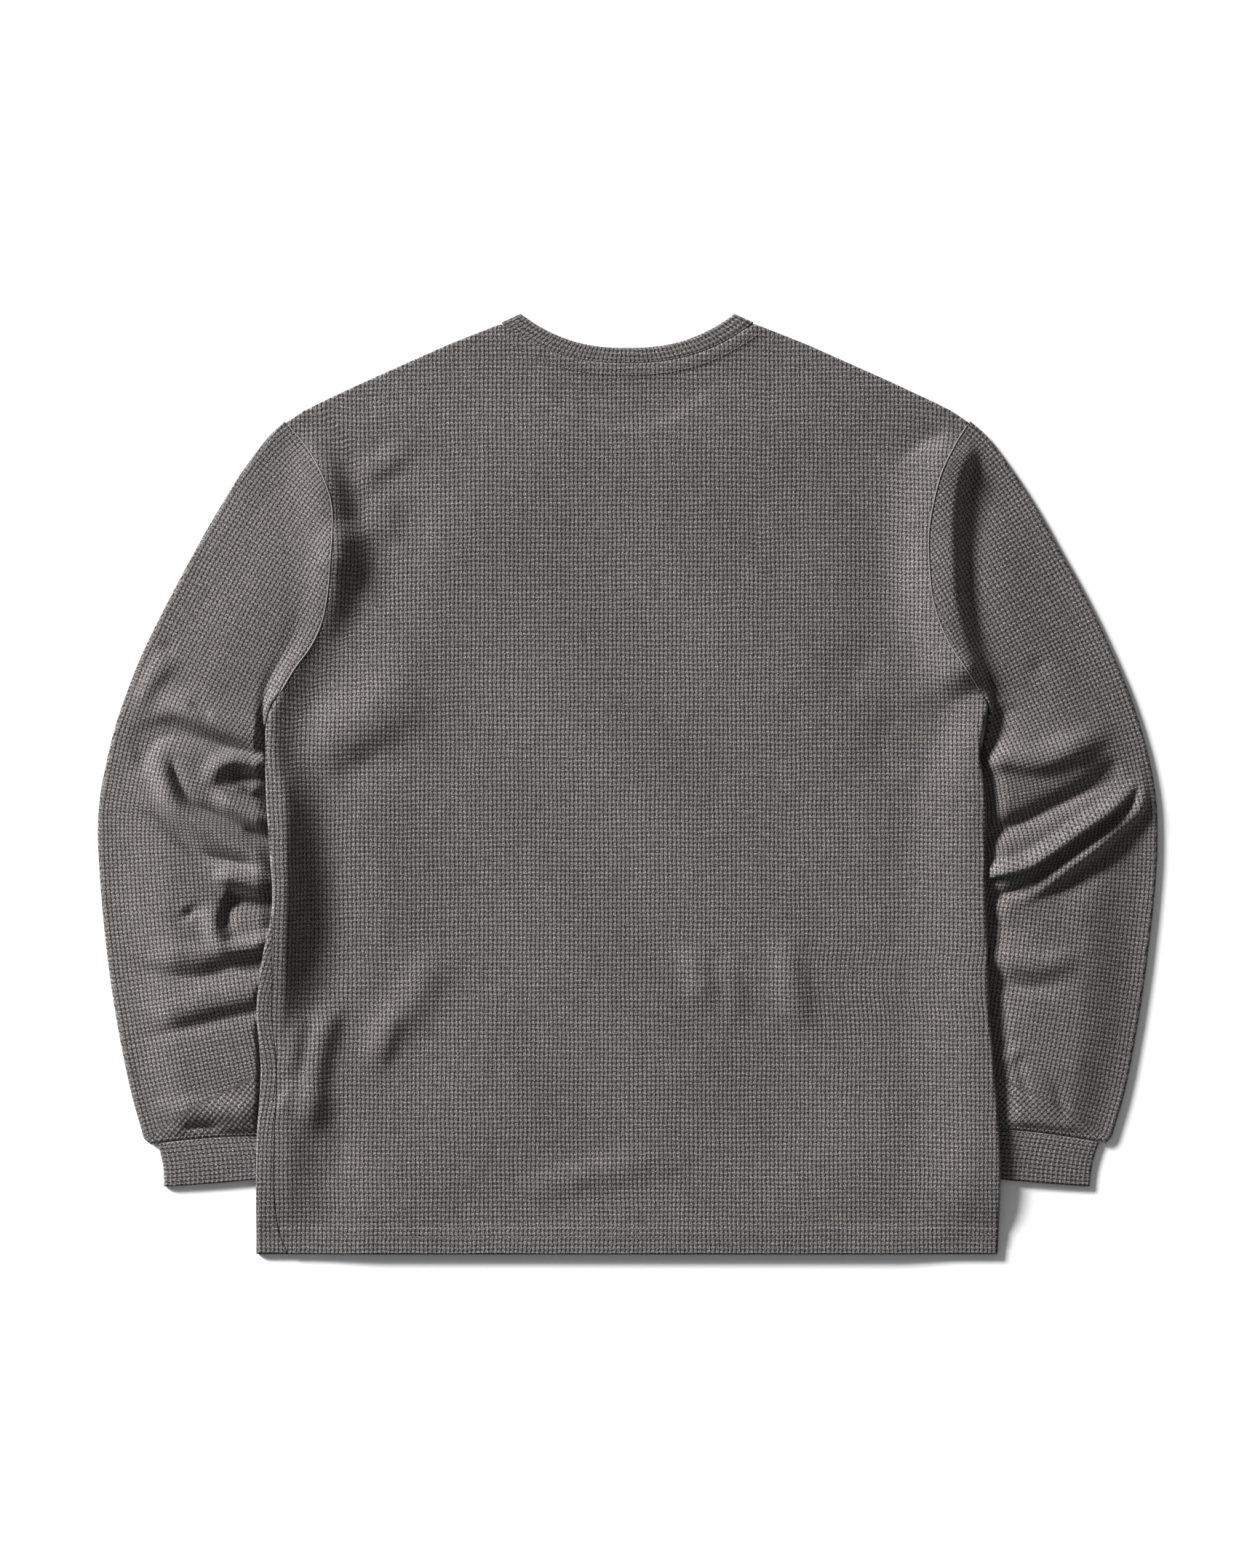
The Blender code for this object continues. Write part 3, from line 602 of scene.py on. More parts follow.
def sleeve_layers(name, side, columns, rows):
    """Upper and lower layer of a sleeve, as points, with the upper one's folds."""
    plan = sleeve_plan(name, side, columns, rows)
    x, y = plan[..., 0] * side, plan[..., 1]
    u = np.linspace(0, 1, columns)[None, :]
    away = np.linalg.norm(plan - plan[:1], axis=2)
    above_cuff = y - y[-1:]
    beside = plan[..., 0] - side_x(y, side)
    flush = ease(1 - away / SEAM_REACH)
    floor = CLOTH / 2
    lower = floor + (front_z(x[:1], y[:1]) - floor) * flush

    # The air inside swells between the folds, most of all towards the elbow.
    dome = ease(u / 0.34) * ease((1 - u) / 0.12)
    if side > 0:
        dome = dome * (1 - ease((80 - y) / 30) * (1 - ease(beside / 18)))
    loft = ARM_LOFT * ease((250 - y) / 60) + ELBOW_LOFT * ease((75 - y) / 45)
    loft = SLEEVE_LOFT + loft * ease((y + 290) / 80)
    base = floor + CLOTH + SLEEVE_AIR + (loft * ease(away / 60) + 0.6) * dome * ease(above_cuff / 8)

    folds, lean = fold_relief(x - FOLD_SHIFT[0], y - FOLD_SHIFT[1], SLEEVE_FOLDS[name])
    live = ease(away / 18) * ease(above_cuff / 10) * ease(u / 0.06) * ease((1 - u) / 0.03)
    relief = (folds * FOLD_GAIN[name] + SLEEVE_SWELL * swell(x, y, 2.1 * side)) * live
    ridge = armhole_relief(x, y)
    at_seam = back_z(x[:1], y[:1]) - ridge[:1]
    upper = base * (1 - flush) + at_seam * flush + ridge * ease((y - 40) / 30) + relief
    upper = at_least(upper, lower + CLOTH + UNDER_GAP, 1.2)

    # Under the body the sleeve stays below it, and just inside the body's edge it bunches up to it.
    under_body = front_z(x, y) - CLOTH - UNDER_GAP
    below_arm = 1 - ease((y - 50) / 12)
    free = ease((beside - FREE_FROM[name]) / 9) + 1 - below_arm
    upper = at_most(upper, under_body + 30 * free, 2.5)
    tucked = ease(-beside / 1.6) * ease((1 - u) / 0.03) * (1 - ease((y - 57) / 8))
    upper += (under_body - SLACK - upper) * tucked
    lower = np.minimum(lower, upper - CLOTH - SLACK)

    covered = (1 - ease((beside + 3) / 6)) * below_arm
    shift = lean * (live * (1 - covered))[..., None]
    top = np.dstack([x + shift[..., 0], y + shift[..., 1], upper])
    return plan, top, np.dstack([x, y, lower])


def half_turn(a, b, out, steps):
    """Columns of points that fold from one layer's edge to the other's."""
    middle, half = (a[:, 2] + b[:, 2]) / 2, (a[:, 2] - b[:, 2]) / 2
    reach = out * np.abs(half)[:, None]
    turn = []
    for angle in np.pi * np.arange(1, steps) / steps:
        mix = (1 - np.cos(angle)) / 2
        flat = a[:, :2] * (1 - mix) + b[:, :2] * mix + reach * np.sin(angle)
        turn.append(np.column_stack([flat, middle + half * np.cos(angle)]))
    return np.stack(turn, 1)


def thinned(count, step):
    """Every so many columns, with the last one always kept."""
    return np.unique(np.concatenate([np.arange(0, count, step), [count - 1]]))


def tube_rings(top, bottom, bend_steps, thin, side):
    """Closed rings: upper layer outwards to inwards, inner fold, sparse lower layer, outer fold."""
    low = bottom[:, thinned(bottom.shape[1], thin)[::-1]]
    near, far = to_the_right(top[:, -1, :2]) * side, to_the_right(bottom[:, 0, :2]) * -side
    near *= ease(np.linalg.norm(top[:, -1, :2] - top[0, -1, :2], axis=1) / INNER_FOLD_START)[:, None]
    inner = half_turn(top[:, -1], bottom[:, -1], near, bend_steps)
    outer = half_turn(bottom[:, 0], top[:, 0], far, bend_steps)
    return np.concatenate([top, inner, low, outer], axis=1)


def excess(points, axis):
    """How much further the cloth runs than its plan does, along rows or down columns."""
    steps = np.diff(points, axis=axis)
    extra = np.linalg.norm(steps, axis=2) - np.linalg.norm(steps[..., :2], axis=2)
    start = np.zeros_like(np.take(extra, [0], axis))
    return np.concatenate([start, np.cumsum(extra, axis=axis)], axis=axis)


def evened(lengths, rows=12):
    """Lengths averaged over neighbouring rows, so that the knit's columns bend and don't zigzag."""
    padded = np.pad(lengths, ((rows, rows), (0, 0)), mode="edge")
    total = np.cumsum(np.concatenate([np.zeros_like(padded[:1]), padded]), axis=0)
    return (total[2 * rows + 1:] - total[:-2 * rows - 1]) / (2 * rows + 1)


def ring_lengths(rings):
    """Length round each ring from its first point, with the closing length last."""
    closed = np.concatenate([rings, rings[:, :1]], axis=1)
    steps = np.linalg.norm(np.diff(closed, axis=1), axis=2)
    return np.concatenate([np.zeros((len(rings), 1)), np.cumsum(steps, axis=1)], axis=1)


def distance_inside(points, name, side):
    """How far each point lies inside the sleeve's outer fold and how far down along that fold."""
    t = np.linspace(0, 1, 260)
    line = along_curve(OUTER_FOLD[name], t) * (side, 1)
    along = t * line_length(line)
    direction = directions(line)
    flat = points[..., :2].reshape(-1, 2)
    gap = ((flat[:, None] - line[None]) ** 2).sum(2)
    k = gap.argmin(1)
    offset = flat - line[k]
    inside = np.abs(offset[:, 0] * direction[k, 1] - offset[:, 1] * direction[k, 0])
    down = along[k] + (offset * direction[k]).sum(1)
    return inside.reshape(points.shape[:-1]), down.reshape(points.shape[:-1])


# ---- meshes ----

def cloth_piece(name, points, cut, material, is_ring=False):
    """A sheet of the cloth's thickness through rows of points, with flat cloth coordinates as its UV map."""
    rows, columns = points.shape[:2]
    index = np.arange(rows * columns).reshape(rows, columns)
    right = np.roll(index, -1, axis=1) if is_ring else index[:, 1:]
    left = index if is_ring else index[:, :-1]
    faces = np.stack([left[:-1], right[:-1], right[1:], left[1:]], -1).reshape(-1, 4)
    u, v = cut[..., 0], cut[..., 1]
    corner = [(0, 0), (0, 1), (1, 1), (1, 0)]
    span = columns if is_ring else columns - 1
    loops = np.stack([
        np.stack([grid[r:rows - 1 + r, c:span + c] for r, c in corner], -1) for grid in (u, v)
    ], -1).reshape(-1, 2)
    mesh = bpy.data.meshes.new(name)
    mesh.from_pydata((points.reshape(-1, 3) * MM).tolist(), [], faces.tolist())
    layer = mesh.uv_layers.new(name="Cloth")
    layer.data.foreach_set("uv", (loops * MM).ravel())
    mesh.shade_smooth()
    mesh.materials.append(material)
    piece = bpy.data.objects.new(name, mesh)
    bpy.context.scene.collection.objects.link(piece)
    wall = piece.modifiers.new("Cloth", "SOLIDIFY")
    wall.thickness = CLOTH * MM
    wall.offset = 0
    wall.use_even_offset = False
    return piece


def sheet_area(points, is_ring):
    """Area of the cloth in square metres."""
    grid = np.concatenate([points, points[:, :1]], axis=1) if is_ring else points
    a, b = grid[1:, 1:] - grid[:-1, :-1], grid[1:, :-1] - grid[:-1, 1:]
    return np.linalg.norm(np.cross(a, b), axis=2).sum() / 2 * MM * MM


def finish_piece(piece, slot, *nodes):
    """Ties a piece to the garment and hides the solids it stands for; its slot is not used."""
    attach(piece, "root")
    if nodes:
        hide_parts(*nodes)


# ---- materials ----

def colour(text):
    """An sRGB hex colour as linear values with alpha."""
    parts = [int(text[i:i + 2], 16) / 255 for i in (1, 3, 5)]
    return (*[c / 12.92 if c <= 0.04045 else ((c + 0.055) / 1.055) ** 2.4 for c in parts], 1)


def node(tree, kind, inputs=(), **settings):
    """Adds a node with its settings, its values and its links."""
    made = tree.nodes.new(kind)
    for key, value in settings.items():
        setattr(made, key, value)
    for key, value in dict(inputs).items():
        socket = made.inputs[key]
        if isinstance(value, bpy.types.NodeSocket):
            tree.links.new(value, socket)
        else:
            socket.default_value = value
    return made


THREAD_SHADOW = "#6c6764"
MATH, VECTOR, NOISE = "ShaderNodeMath", "ShaderNodeVectorMath", "ShaderNodeTexNoise"
RANGE, MIX = "ShaderNodeMapRange", "ShaderNodeMix"


def waffle_knit(settings, name):
    """Waffle knit of heathered cotton: raised ribs round square pits darkened with painted shade, dull and a
    little fuzzy.
    """
    material = bpy.data.materials.new(name)
    material.use_nodes = True
    tree = material.node_tree
    shader = tree.nodes["Principled BSDF"]
    place = node(tree, "ShaderNodeUVMap", uv_map="Cloth").outputs[0]

    # The knit is never quite even: its cells drift over centimetres and shake from one to the next.
    moved = place
    for scale, amount in ((22.0, 0.0030), (480.0, 0.0012)):
        noise = node(tree, NOISE, {"Vector": place, "Scale": scale, "Detail": 2.0})
        offset = node(tree, VECTOR, {0: noise.outputs["Color"], 1: (0.5, 0.5, 0.5)}, operation="SUBTRACT")
        offset = node(tree, VECTOR, {0: offset.outputs[0], "Scale": amount}, operation="SCALE")
        moved = node(tree, VECTOR, {0: moved, 1: offset.outputs[0]}, operation="ADD").outputs[0]
    split = node(tree, "ShaderNodeSeparateXYZ", {0: moved})
    turn = 2 * np.pi
    down = node(tree, MATH, {0: split.outputs["Y"], 1: turn / settings.row_pitch}, operation="MULTIPLY")
    across = node(tree, MATH, {0: split.outputs["X"], 1: turn / settings.column_pitch}, operation="MULTIPLY")
    # The pits lean a little, as the loops of the knit do.
    lean = node(tree, MATH, {0: down.outputs[0]}, operation="SINE")
    across = node(tree, MATH, {0: lean.outputs[0], 1: settings.pit_lean, 2: across.outputs[0]},
                  operation="MULTIPLY_ADD")
    waves = []
    for angle in (across, down):
        wave = node(tree, MATH, {0: angle.outputs[0]}, operation="COSINE")
        wave = node(tree, MATH, {0: wave.outputs[0], 1: 0.5, 2: 0.5}, operation="MULTIPLY_ADD")
        waves.append(wave.outputs[0])
    column_wave, row_wave = waves
    ribs = node(tree, RANGE, {"Value": column_wave, "From Min": 0.09, "From Max": 0.46},
                interpolation_type="SMOOTHSTEP").outputs[0]
    bars = node(tree, RANGE, {"Value": row_wave, "From Min": 0.28, "From Max": 0.85, "To Max": 0.85},
                interpolation_type="SMOOTHSTEP").outputs[0]
    relief = node(tree, MATH, {0: ribs, 1: bars}, operation="MAXIMUM")
    relief = node(tree, MATH, {0: relief.outputs[0], 1: 0.54}, operation="MULTIPLY")
    crossings = node(tree, MATH, {0: ribs, 1: row_wave}, operation="MULTIPLY")
    crown_and_shade = node(tree, MATH, {0: crossings.outputs[0], 1: 0.60, 2: relief.outputs[0]},
                 operation="MULTIPLY_ADD").outputs[0]

    # The yarn's fibres: a grain of about a millimetre, light flecks on the ribs, and warm and cool patches.
    yarn = node(tree, NOISE, {"Vector": place, "Scale": 1000.0, "Detail": 2.0, "Roughness": 0.75})
    grain = node(tree, RANGE, {"Value": yarn.outputs["Fac"], "From Min": 0.34, "From Max": 0.66,
                               "To Min": 0.1, "To Max": 1.9})
    specks = node(tree, NOISE, {"Vector": place, "Scale": 1000.0, "Detail": 1.0, "Roughness": 0.8})
    fleck = node(tree, RANGE, {"Value": specks.outputs["Fac"], "From Min": 0.56, "From Max": 0.68,
                               "To Max": 0.55})
    fleck = node(tree, MATH, {0: fleck.outputs[0], 1: ribs}, operation="MULTIPLY")
    tint = node(tree, NOISE, {"Vector": place, "Scale": 260.0, "Detail": 2.0})
    # Painted shade and light: the colour runs from the dark pit shade up to the rib colour with the relief's
    # height, so the pits get painted shade and the crossings of ribs and bars get painted light.
    base = node(tree, MIX, {"Factor": crown_and_shade, 6: colour(settings.painted_pit_shade), 7: colour(settings.rib_colour)},
                data_type="RGBA")
    warm = node(tree, MIX, {"Factor": tint.outputs["Fac"], 6: (0.90, 0.95, 1.10, 1),
                            7: (1.10, 1.04, 0.90, 1)}, data_type="RGBA")
    spun = node(tree, MIX, {"Factor": 1.0, 6: base.outputs[2], 7: warm.outputs[2]},
                data_type="RGBA", blend_type="MULTIPLY")
    spun = node(tree, VECTOR, {0: spun.outputs[2], "Scale": grain.outputs[0]}, operation="SCALE")
    flecked = node(tree, MIX, {"Factor": fleck.outputs[0], 6: spun.outputs[0],
                               7: colour(settings.fleck_colour)}, data_type="RGBA")

    # Thick and thin yarn shows as streaks along the rows and, weaker, along the columns.
    threads = []
    for stretch in ((70.0, 290.0, 1.0), (305.0, 22.0, 1.0)):
        stretched = node(tree, VECTOR, {0: place, 1: stretch}, operation="MULTIPLY")
        noise = node(tree, NOISE, {"Vector": stretched.outputs[0], "Scale": 1.0, "Detail": 1.0})
        threads.append(noise.outputs["Fac"])
    courses, wales = threads
    streaks = node(tree, MATH, {0: wales, 1: 0.6, 2: courses}, operation="MULTIPLY_ADD")
    streak = node(tree, RANGE, {"Value": streaks.outputs[0], "From Min": 0.55, "From Max": 1.05,
                                "To Min": 0.86, "To Max": 1.14})
    cloudy = node(tree, NOISE, {"Vector": place, "Scale": 9.0, "Detail": 3.0})
    tone = node(tree, RANGE, {"Value": cloudy.outputs["Fac"], "From Min": 0.3, "From Max": 0.7,
                              "To Min": 0.94, "To Max": 1.06})
    shade = node(tree, MATH, {0: tone.outputs[0], 1: streak.outputs[0]}, operation="MULTIPLY")
    dyed = node(tree, VECTOR, {0: flecked.outputs[2], "Scale": shade.outputs[0]}, operation="SCALE")

    tree.links.new(dyed.outputs[0], shader.inputs["Base Color"])
    shader.inputs["Roughness"].default_value = 0.93
    shader.inputs["Specular IOR Level"].default_value = 0.25
    shader.inputs["Sheen Weight"].default_value = 0.12
    shader.inputs["Sheen Roughness"].default_value = 0.5
    fuzz = node(tree, MATH, {0: yarn.outputs["Fac"], 1: 0.25, 2: crown_and_shade}, operation="MULTIPLY_ADD")
    bump = node(tree, "ShaderNodeBump", {"Height": fuzz.outputs[0], "Strength": 0.55, "Distance": 0.0009})
    tree.links.new(bump.outputs[0], shader.inputs["Normal"])
    return material


def sewing_thread(settings):
    """Spun polyester thread, a shade lighter than the cloth, with a soft gloss."""
    material = bpy.data.materials.new("sewing_thread")
    material.use_nodes = True
    tree = material.node_tree
    shader = tree.nodes["Principled BSDF"]
    place = node(tree, "ShaderNodeTexCoord").outputs["Object"]
    twist = node(tree, NOISE, {"Vector": place, "Scale": 2500.0, "Detail": 1.0})
    mix = node(tree, MIX, {"Factor": twist.outputs["Fac"], 6: colour(THREAD_SHADOW),
                           7: colour(settings.thread_colour)}, data_type="RGBA")
    tree.links.new(mix.outputs[2], shader.inputs["Base Color"])
    shader.inputs["Roughness"].default_value = 0.6
    return material


# ---- settings ----

class KnitSettings(bpy.types.PropertyGroup):
    column_pitch: bpy.props.FloatProperty(
        name="Column pitch", description="Width of one waffle cell", default=0.00328, unit="LENGTH",
        precision=5)
    row_pitch: bpy.props.FloatProperty(
        name="Row pitch", description="Height of one waffle cell", default=0.0036, unit="LENGTH",
        precision=5)
    pit_lean: bpy.props.FloatProperty(
        name="Pit lean", description="How far the pits lean", default=0.45, subtype="ANGLE")
    rib_colour: bpy.props.StringProperty(
        name="Rib colour", description="Raised ribs, sRGB hex", default="#6d6967")
    # Painted shade: the pits' colour is the yarn darkened by the shade that falls in them.
    painted_pit_shade: bpy.props.StringProperty(
        name="Pit colour", description="Pits between the ribs, sRGB hex", default="#23201f")
    fleck_colour: bpy.props.StringProperty(
        name="Fleck colour", description="Light fibres in the heathered yarn, sRGB hex", default="#aba6a0")
    thread_colour: bpy.props.StringProperty(
        name="Thread colour", description="Sewing thread, sRGB hex", default="#97928e")


class StageSettings(bpy.types.PropertyGroup):
    floor_size: bpy.props.FloatProperty(
        name="Floor size", description="Side of the square floor", default=12.0, unit="LENGTH")
    camera_height: bpy.props.FloatProperty(
        name="Camera height", description="Camera above the floor, straight over the garment", default=3.0,
        unit="LENGTH")
    view_height: bpy.props.FloatProperty(
        name="View height", description="Length of floor that the view takes in, up and down", default=1.2074,
        unit="LENGTH")


# ---- operators ----

class THERMALTOP_OT_body(bpy.types.Operator):
    """Lays out the back panel and the front panel under it"""
    bl_idname = "thermal_top.body"
    bl_label = "Body panels"

    def execute(self, context):
        knit = waffle_knit(context.scene.thermal_knit, "waffle_knit_body")
        # Columns are closer towards the sides, and rows at the hem.
        half_columns = np.concatenate([np.linspace(0, 0.7, 26)[:-1], np.linspace(0.7, 1, 26)])
        above_hem = HEM_Y + HEM_DEPTH + 4
        rows = np.concatenate([
            np.linspace(HEM_Y, above_hem, 14)[:-1], np.linspace(above_hem, UNDERARM_Y, 140)])
        points, cut = body_points(False, half_columns, rows, 82, (12, 10, 8))
        back = cloth_piece("back_cloth", points, cut, knit)
        finish_piece(back, "body", "back_panel")
        sheet_area(points, False)
        # The front is hidden but for its roll over the side folds and its neck edge, so it has fewer columns.
        half_columns, rows = np.linspace(0, 1, 16), np.linspace(HEM_Y, UNDERARM_Y, 150)
        points, cut = body_points(True, half_columns, rows, 40, (10, 11, 11))
        front = cloth_piece("front_cloth", points, cut, knit)
        finish_piece(front, "body", "front_panel")
        sheet_area(points, False)
        return {"FINISHED"}


class THERMALTOP_OT_sleeves(bpy.types.Operator):
    """Lays out both sleeves with their folds, tucked under the body's sides"""
    bl_idname = "thermal_top.sleeves"
    bl_label = "Sleeves"

    def execute(self, context):
        knit = waffle_knit(context.scene.thermal_knit, "waffle_knit_sleeve")
        for name, side in (("left", -1), ("right", 1)):
            plan, top, bottom = sleeve_layers(name, side, SLEEVE_COLUMNS, SLEEVE_ROWS)
            rings = tube_rings(top, bottom, SLEEVE_BEND, SLEEVE_THIN, side)
            piece = cloth_piece(f"sleeve_{name}_cloth", rings, sleeve_cut(plan, top, name, side), knit, True)
            finish_piece(piece, "sleeve", f"sleeve_{name}")
            sheet_area(rings, True)
        return {"FINISHED"}


def sleeve_cut(plan, top, name, side):
    """Flat cloth coordinates round a sleeve's rings: in from the outer fold and down along it."""
    inside, down = distance_inside(plan * (side, 1), name, side)
    inside = inside + evened(excess(top, 1))
    down = down + excess(top, 0).mean(axis=1, keepdims=True)
    back = thinned(SLEEVE_COLUMNS, SLEEVE_THIN)[::-1]
    turns = SLEEVE_BEND - 1
    width, turn = inside[:, -1:], np.linspace(SLACK, 4, turns)[None]
    low = 2 * width + 6 - inside[:, back]
    end = low[:, -1:]
    around = np.concatenate([inside, width + turn, low, end + turn, end + 5], axis=1)
    down = np.concatenate([
        down, np.repeat(down[:, -1:], turns, 1), down[:, back], np.repeat(down[:, :1], turns + 1, 1)], axis=1)
    return np.dstack([around, down])


class THERMALTOP_OT_cuffs(bpy.types.Operator):
    """Adds the cuffs at the sleeves' ends"""
    bl_idname = "thermal_top.cuffs"
    bl_label = "Cuffs"

    def execute(self, context):
        knit = waffle_knit(context.scene.thermal_knit, "waffle_knit_cuff")
        for name, side in (("left", -1), ("right", 1)):
            rings, cut = cuff_rings(name, side)
            piece = cloth_piece(f"cuff_{name}_cloth", rings, cut, knit, True)
            finish_piece(piece, "cuff", f"cuff_{name}")
            sheet_area(rings, True)
        return {"FINISHED"}


def cuff_rings(name, side):
    """Rings of points of a cuff, and their flat cloth coordinates."""
    start = sleeve_plan(name, side, CUFF_COLUMNS, SLEEVE_ROWS)[-1]
    start = start[-1] + (start - start[-1]) * (CUFF_GATHER, 1) - (0, SEAM_GAP)
    ends = np.array(CUFF_END[name])
    u = np.linspace(0, 1, CUFF_COLUMNS)
    bow = np.sin(np.pi * u)
    end = ends[0] * (1 - u)[:, None] + ends[1] * u[:, None]
    end[:, 1] -= CUFF_END_BOW * bow
    v = np.linspace(0, 1, CUFF_ROWS)[:, None, None]
    plan = start * (1 - v) + end * v
    swelling = np.sin(np.pi * v[..., 0])
    # The cuff's outer edge bows in a little between the seam and its free end.
    plan[..., 0] -= CUFF_SIDE_BOW * swelling * (1 - u)
    lower = np.full(plan.shape[:2], CLOTH / 2)
    upper = lower + CLOTH + CUFF_AIR + CUFF_CROWN * np.abs(bow) ** 0.5 * (0.6 + 0.4 * swelling)
    flat = plan * (side, 1)
    rings = tube_rings(np.dstack([flat, upper]), np.dstack([flat, lower]), CUFF_BEND, CUFF_THIN, side)
    around = ring_lengths(rings)
    length = line_length(plan[:, CUFF_COLUMNS // 2])
    down = np.repeat(np.linspace(0, length, CUFF_ROWS)[:, None], around.shape[1], 1)
    return rings, np.dstack([down, around])


class THERMALTOP_OT_neckband(bpy.types.Operator):
    """Adds the neckband, a ring folded flat at the shoulders"""
    bl_idname = "thermal_top.neckband"
    bl_label = "Neckband"

    def execute(self, context):
        knit = waffle_knit(context.scene.thermal_knit, "waffle_knit_neckband")
        rings, cut = neckband_rings()
        piece = cloth_piece("neckband_cloth", rings, cut, knit, True)
        finish_piece(piece, "neckband", "neckband")
        sheet_area(rings, True)
        return {"FINISHED"}


def neckband_rings():
    """Rings of points of the neckband from its seam up to its free edge, and their flat cloth coordinates."""
    t = np.linspace(-1, 1, 121)
    shares = (np.sin(t * np.pi / 2) + t) / 2
    low, high = CLOTH / 2, CLOTH / 2 + CLOTH + EDGE_AIR
    mid, radius = (low + high) / 2, (high - low) / 2
    turn = np.pi * np.arange(1, 5) / 5
    rings, heights = [], np.linspace(0, 1, 9)
    for h in heights:
        half, top = NECK_HALF + (BAND_HALF - NECK_HALF) * h, NECK_Y + (BAND_Y - NECK_Y) * h
        back = neck_curve(half, top, BACK_DROP + (BAND_BACK_DROP - BACK_DROP) * h, shares * half)
        front = neck_curve(half, top, FRONT_DROP + (BAND_FRONT_DROP - FRONT_DROP) * h, shares * half)
        z_top = high + BAND_CROWN * np.sin(np.pi * h)
        out, up, rise = radius * np.sin(turn) * 0.5, radius * np.sin(turn) * 0.6, radius * np.cos(turn)
        rings.append(np.concatenate([
            np.column_stack([back, np.full(len(back), z_top)]),
            np.column_stack([half + out, top + up, mid + rise]),
            np.column_stack([front[::-4], np.full(len(front[::-4]), low)]),
            np.column_stack([-half - out, top + up, mid - rise])]))
    rings = np.array(rings)
    around = np.repeat(ring_lengths(rings)[4:5], len(rings), 0)
    down = np.repeat((heights * BAND_WIDTH)[:, None], around.shape[1], 1)
    return rings, np.dstack([around, down])


# Rows of stitches: a stitch's length, the pitch and the thread's width.
HEM_STITCH = (2.3, 3.3, 0.55)
SEAM_CORD = (3.6, 1.6, 1.1)
SEAM_DOTS = (1.3, 3.4, 0.6)
NECK_STITCH = (1.9, 2.7, 0.55)
CUFF_STITCH = (1.9, 2.7, 0.6)
STITCH_PROUD = 0.12
CAST_FROM = 0.2      # metres above the floor


class THERMALTOP_OT_stitching(bpy.types.Operator):
    """Sews the hem, armholes, cuffs and neck with rows of single stitches"""
    bl_idname = "thermal_top.stitching"
    bl_label = "Stitching"

    def execute(self, context):
        scene = context.scene
        depsgraph = context.evaluated_depsgraph_get()
        trees = [BVHTree.FromObject(o, depsgraph) for o in scene.objects if o.name.endswith("_cloth")]
        stitches = [stitch for row in stitch_lines() for stitch in laid_stitches(row, trees)]
        bpy.ops.object.select_all(action="DESELECT")
        bpy.ops.mesh.primitive_uv_sphere_add(segments=6, ring_count=4, radius=1.0)
        seed = context.object
        shape = np.array([v.co[:] for v in seed.data.vertices])
        faces = [tuple(p.vertices) for p in seed.data.polygons]
        bpy.data.objects.remove(seed)
        verts, polys = [], []
        for spot, normal, way, length, width in stitches:
            side = normal.cross(way).normalized()
            way = side.cross(normal).normalized()
            axes = np.array([way * length / 2, side * width / 2, normal * width / 2]) * MM
            start = len(verts)
            verts += (shape @ axes + np.array(spot + normal * STITCH_PROUD * MM)).tolist()
            polys += [tuple(i + start for i in face) for face in faces]
        mesh = bpy.data.meshes.new("stitching")
        mesh.from_pydata(verts, [], polys)
        mesh.shade_smooth()
        mesh.materials.append(sewing_thread(scene.thermal_knit))
        piece = bpy.data.objects.new("stitching", mesh)
        scene.collection.objects.link(piece)
        finish_piece(piece, "body")
        return {"FINISHED"}


def laid_stitches(row, trees):
    """Spot, surface normal and way of each stitch in a row, on the highest cloth under its width."""
    line, length, pitch, width = row
    count = int(line_length(line) / pitch)
    at = along_curve(line, (np.arange(count) + 0.5) / count)
    for (x, y), (dx, dy) in zip(at, np.gradient(at, axis=0)):
        aside = Vector((dy, -dx, 0)).normalized() * width * MM
        places = [Vector((x * MM, y * MM, CAST_FROM)) + aside * k for k in (-1, 0, 1)]
        hits = [tree.ray_cast(place, Vector((0, 0, -1))) for tree in trees for place in places]
        hits = [(hit[0].z, hit[1]) for hit in hits if hit[0] is not None]
        if hits:
            height, normal = max(hits, key=lambda hit: hit[0])
            yield Vector((x * MM, y * MM, height)), normal, Vector((dx, dy, 0)), length, width


def stitch_lines():
    """Each row of stitches: its line in plan, then its stitches."""
    hem_x = np.linspace(-260, 285, 40)
    for up in (13.4, HEM_DEPTH):
        yield np.column_stack([hem_x, np.full_like(hem_x, HEM_Y + up)]), *HEM_STITCH
    heights = np.linspace(TIP_Y - 2, UNDERARM_Y + 4, 60)
    for side in (-1, 1):
        seam = np.column_stack([side * side_x(heights, side), heights])
        yield seam, *SEAM_CORD
        for off in (2.4, -2.4):
            yield moved_out(seam, off), *SEAM_DOTS
    seam = neck_curve(NECK_HALF, NECK_Y, BACK_DROP, np.linspace(-1, 1, 80) * (NECK_HALF - 1.5))
    for off in (-1.2, NECK_STRIP):
        yield moved_out(seam, off), *NECK_STITCH
    for name, side in (("left", -1), ("right", 1)):
        seam = sleeve_plan(name, side, CUFF_COLUMNS, SLEEVE_ROWS)[-1][1:52] * (side, 1)
        for up in (2.0, -2.4):
            yield seam + (0, up), *CUFF_STITCH


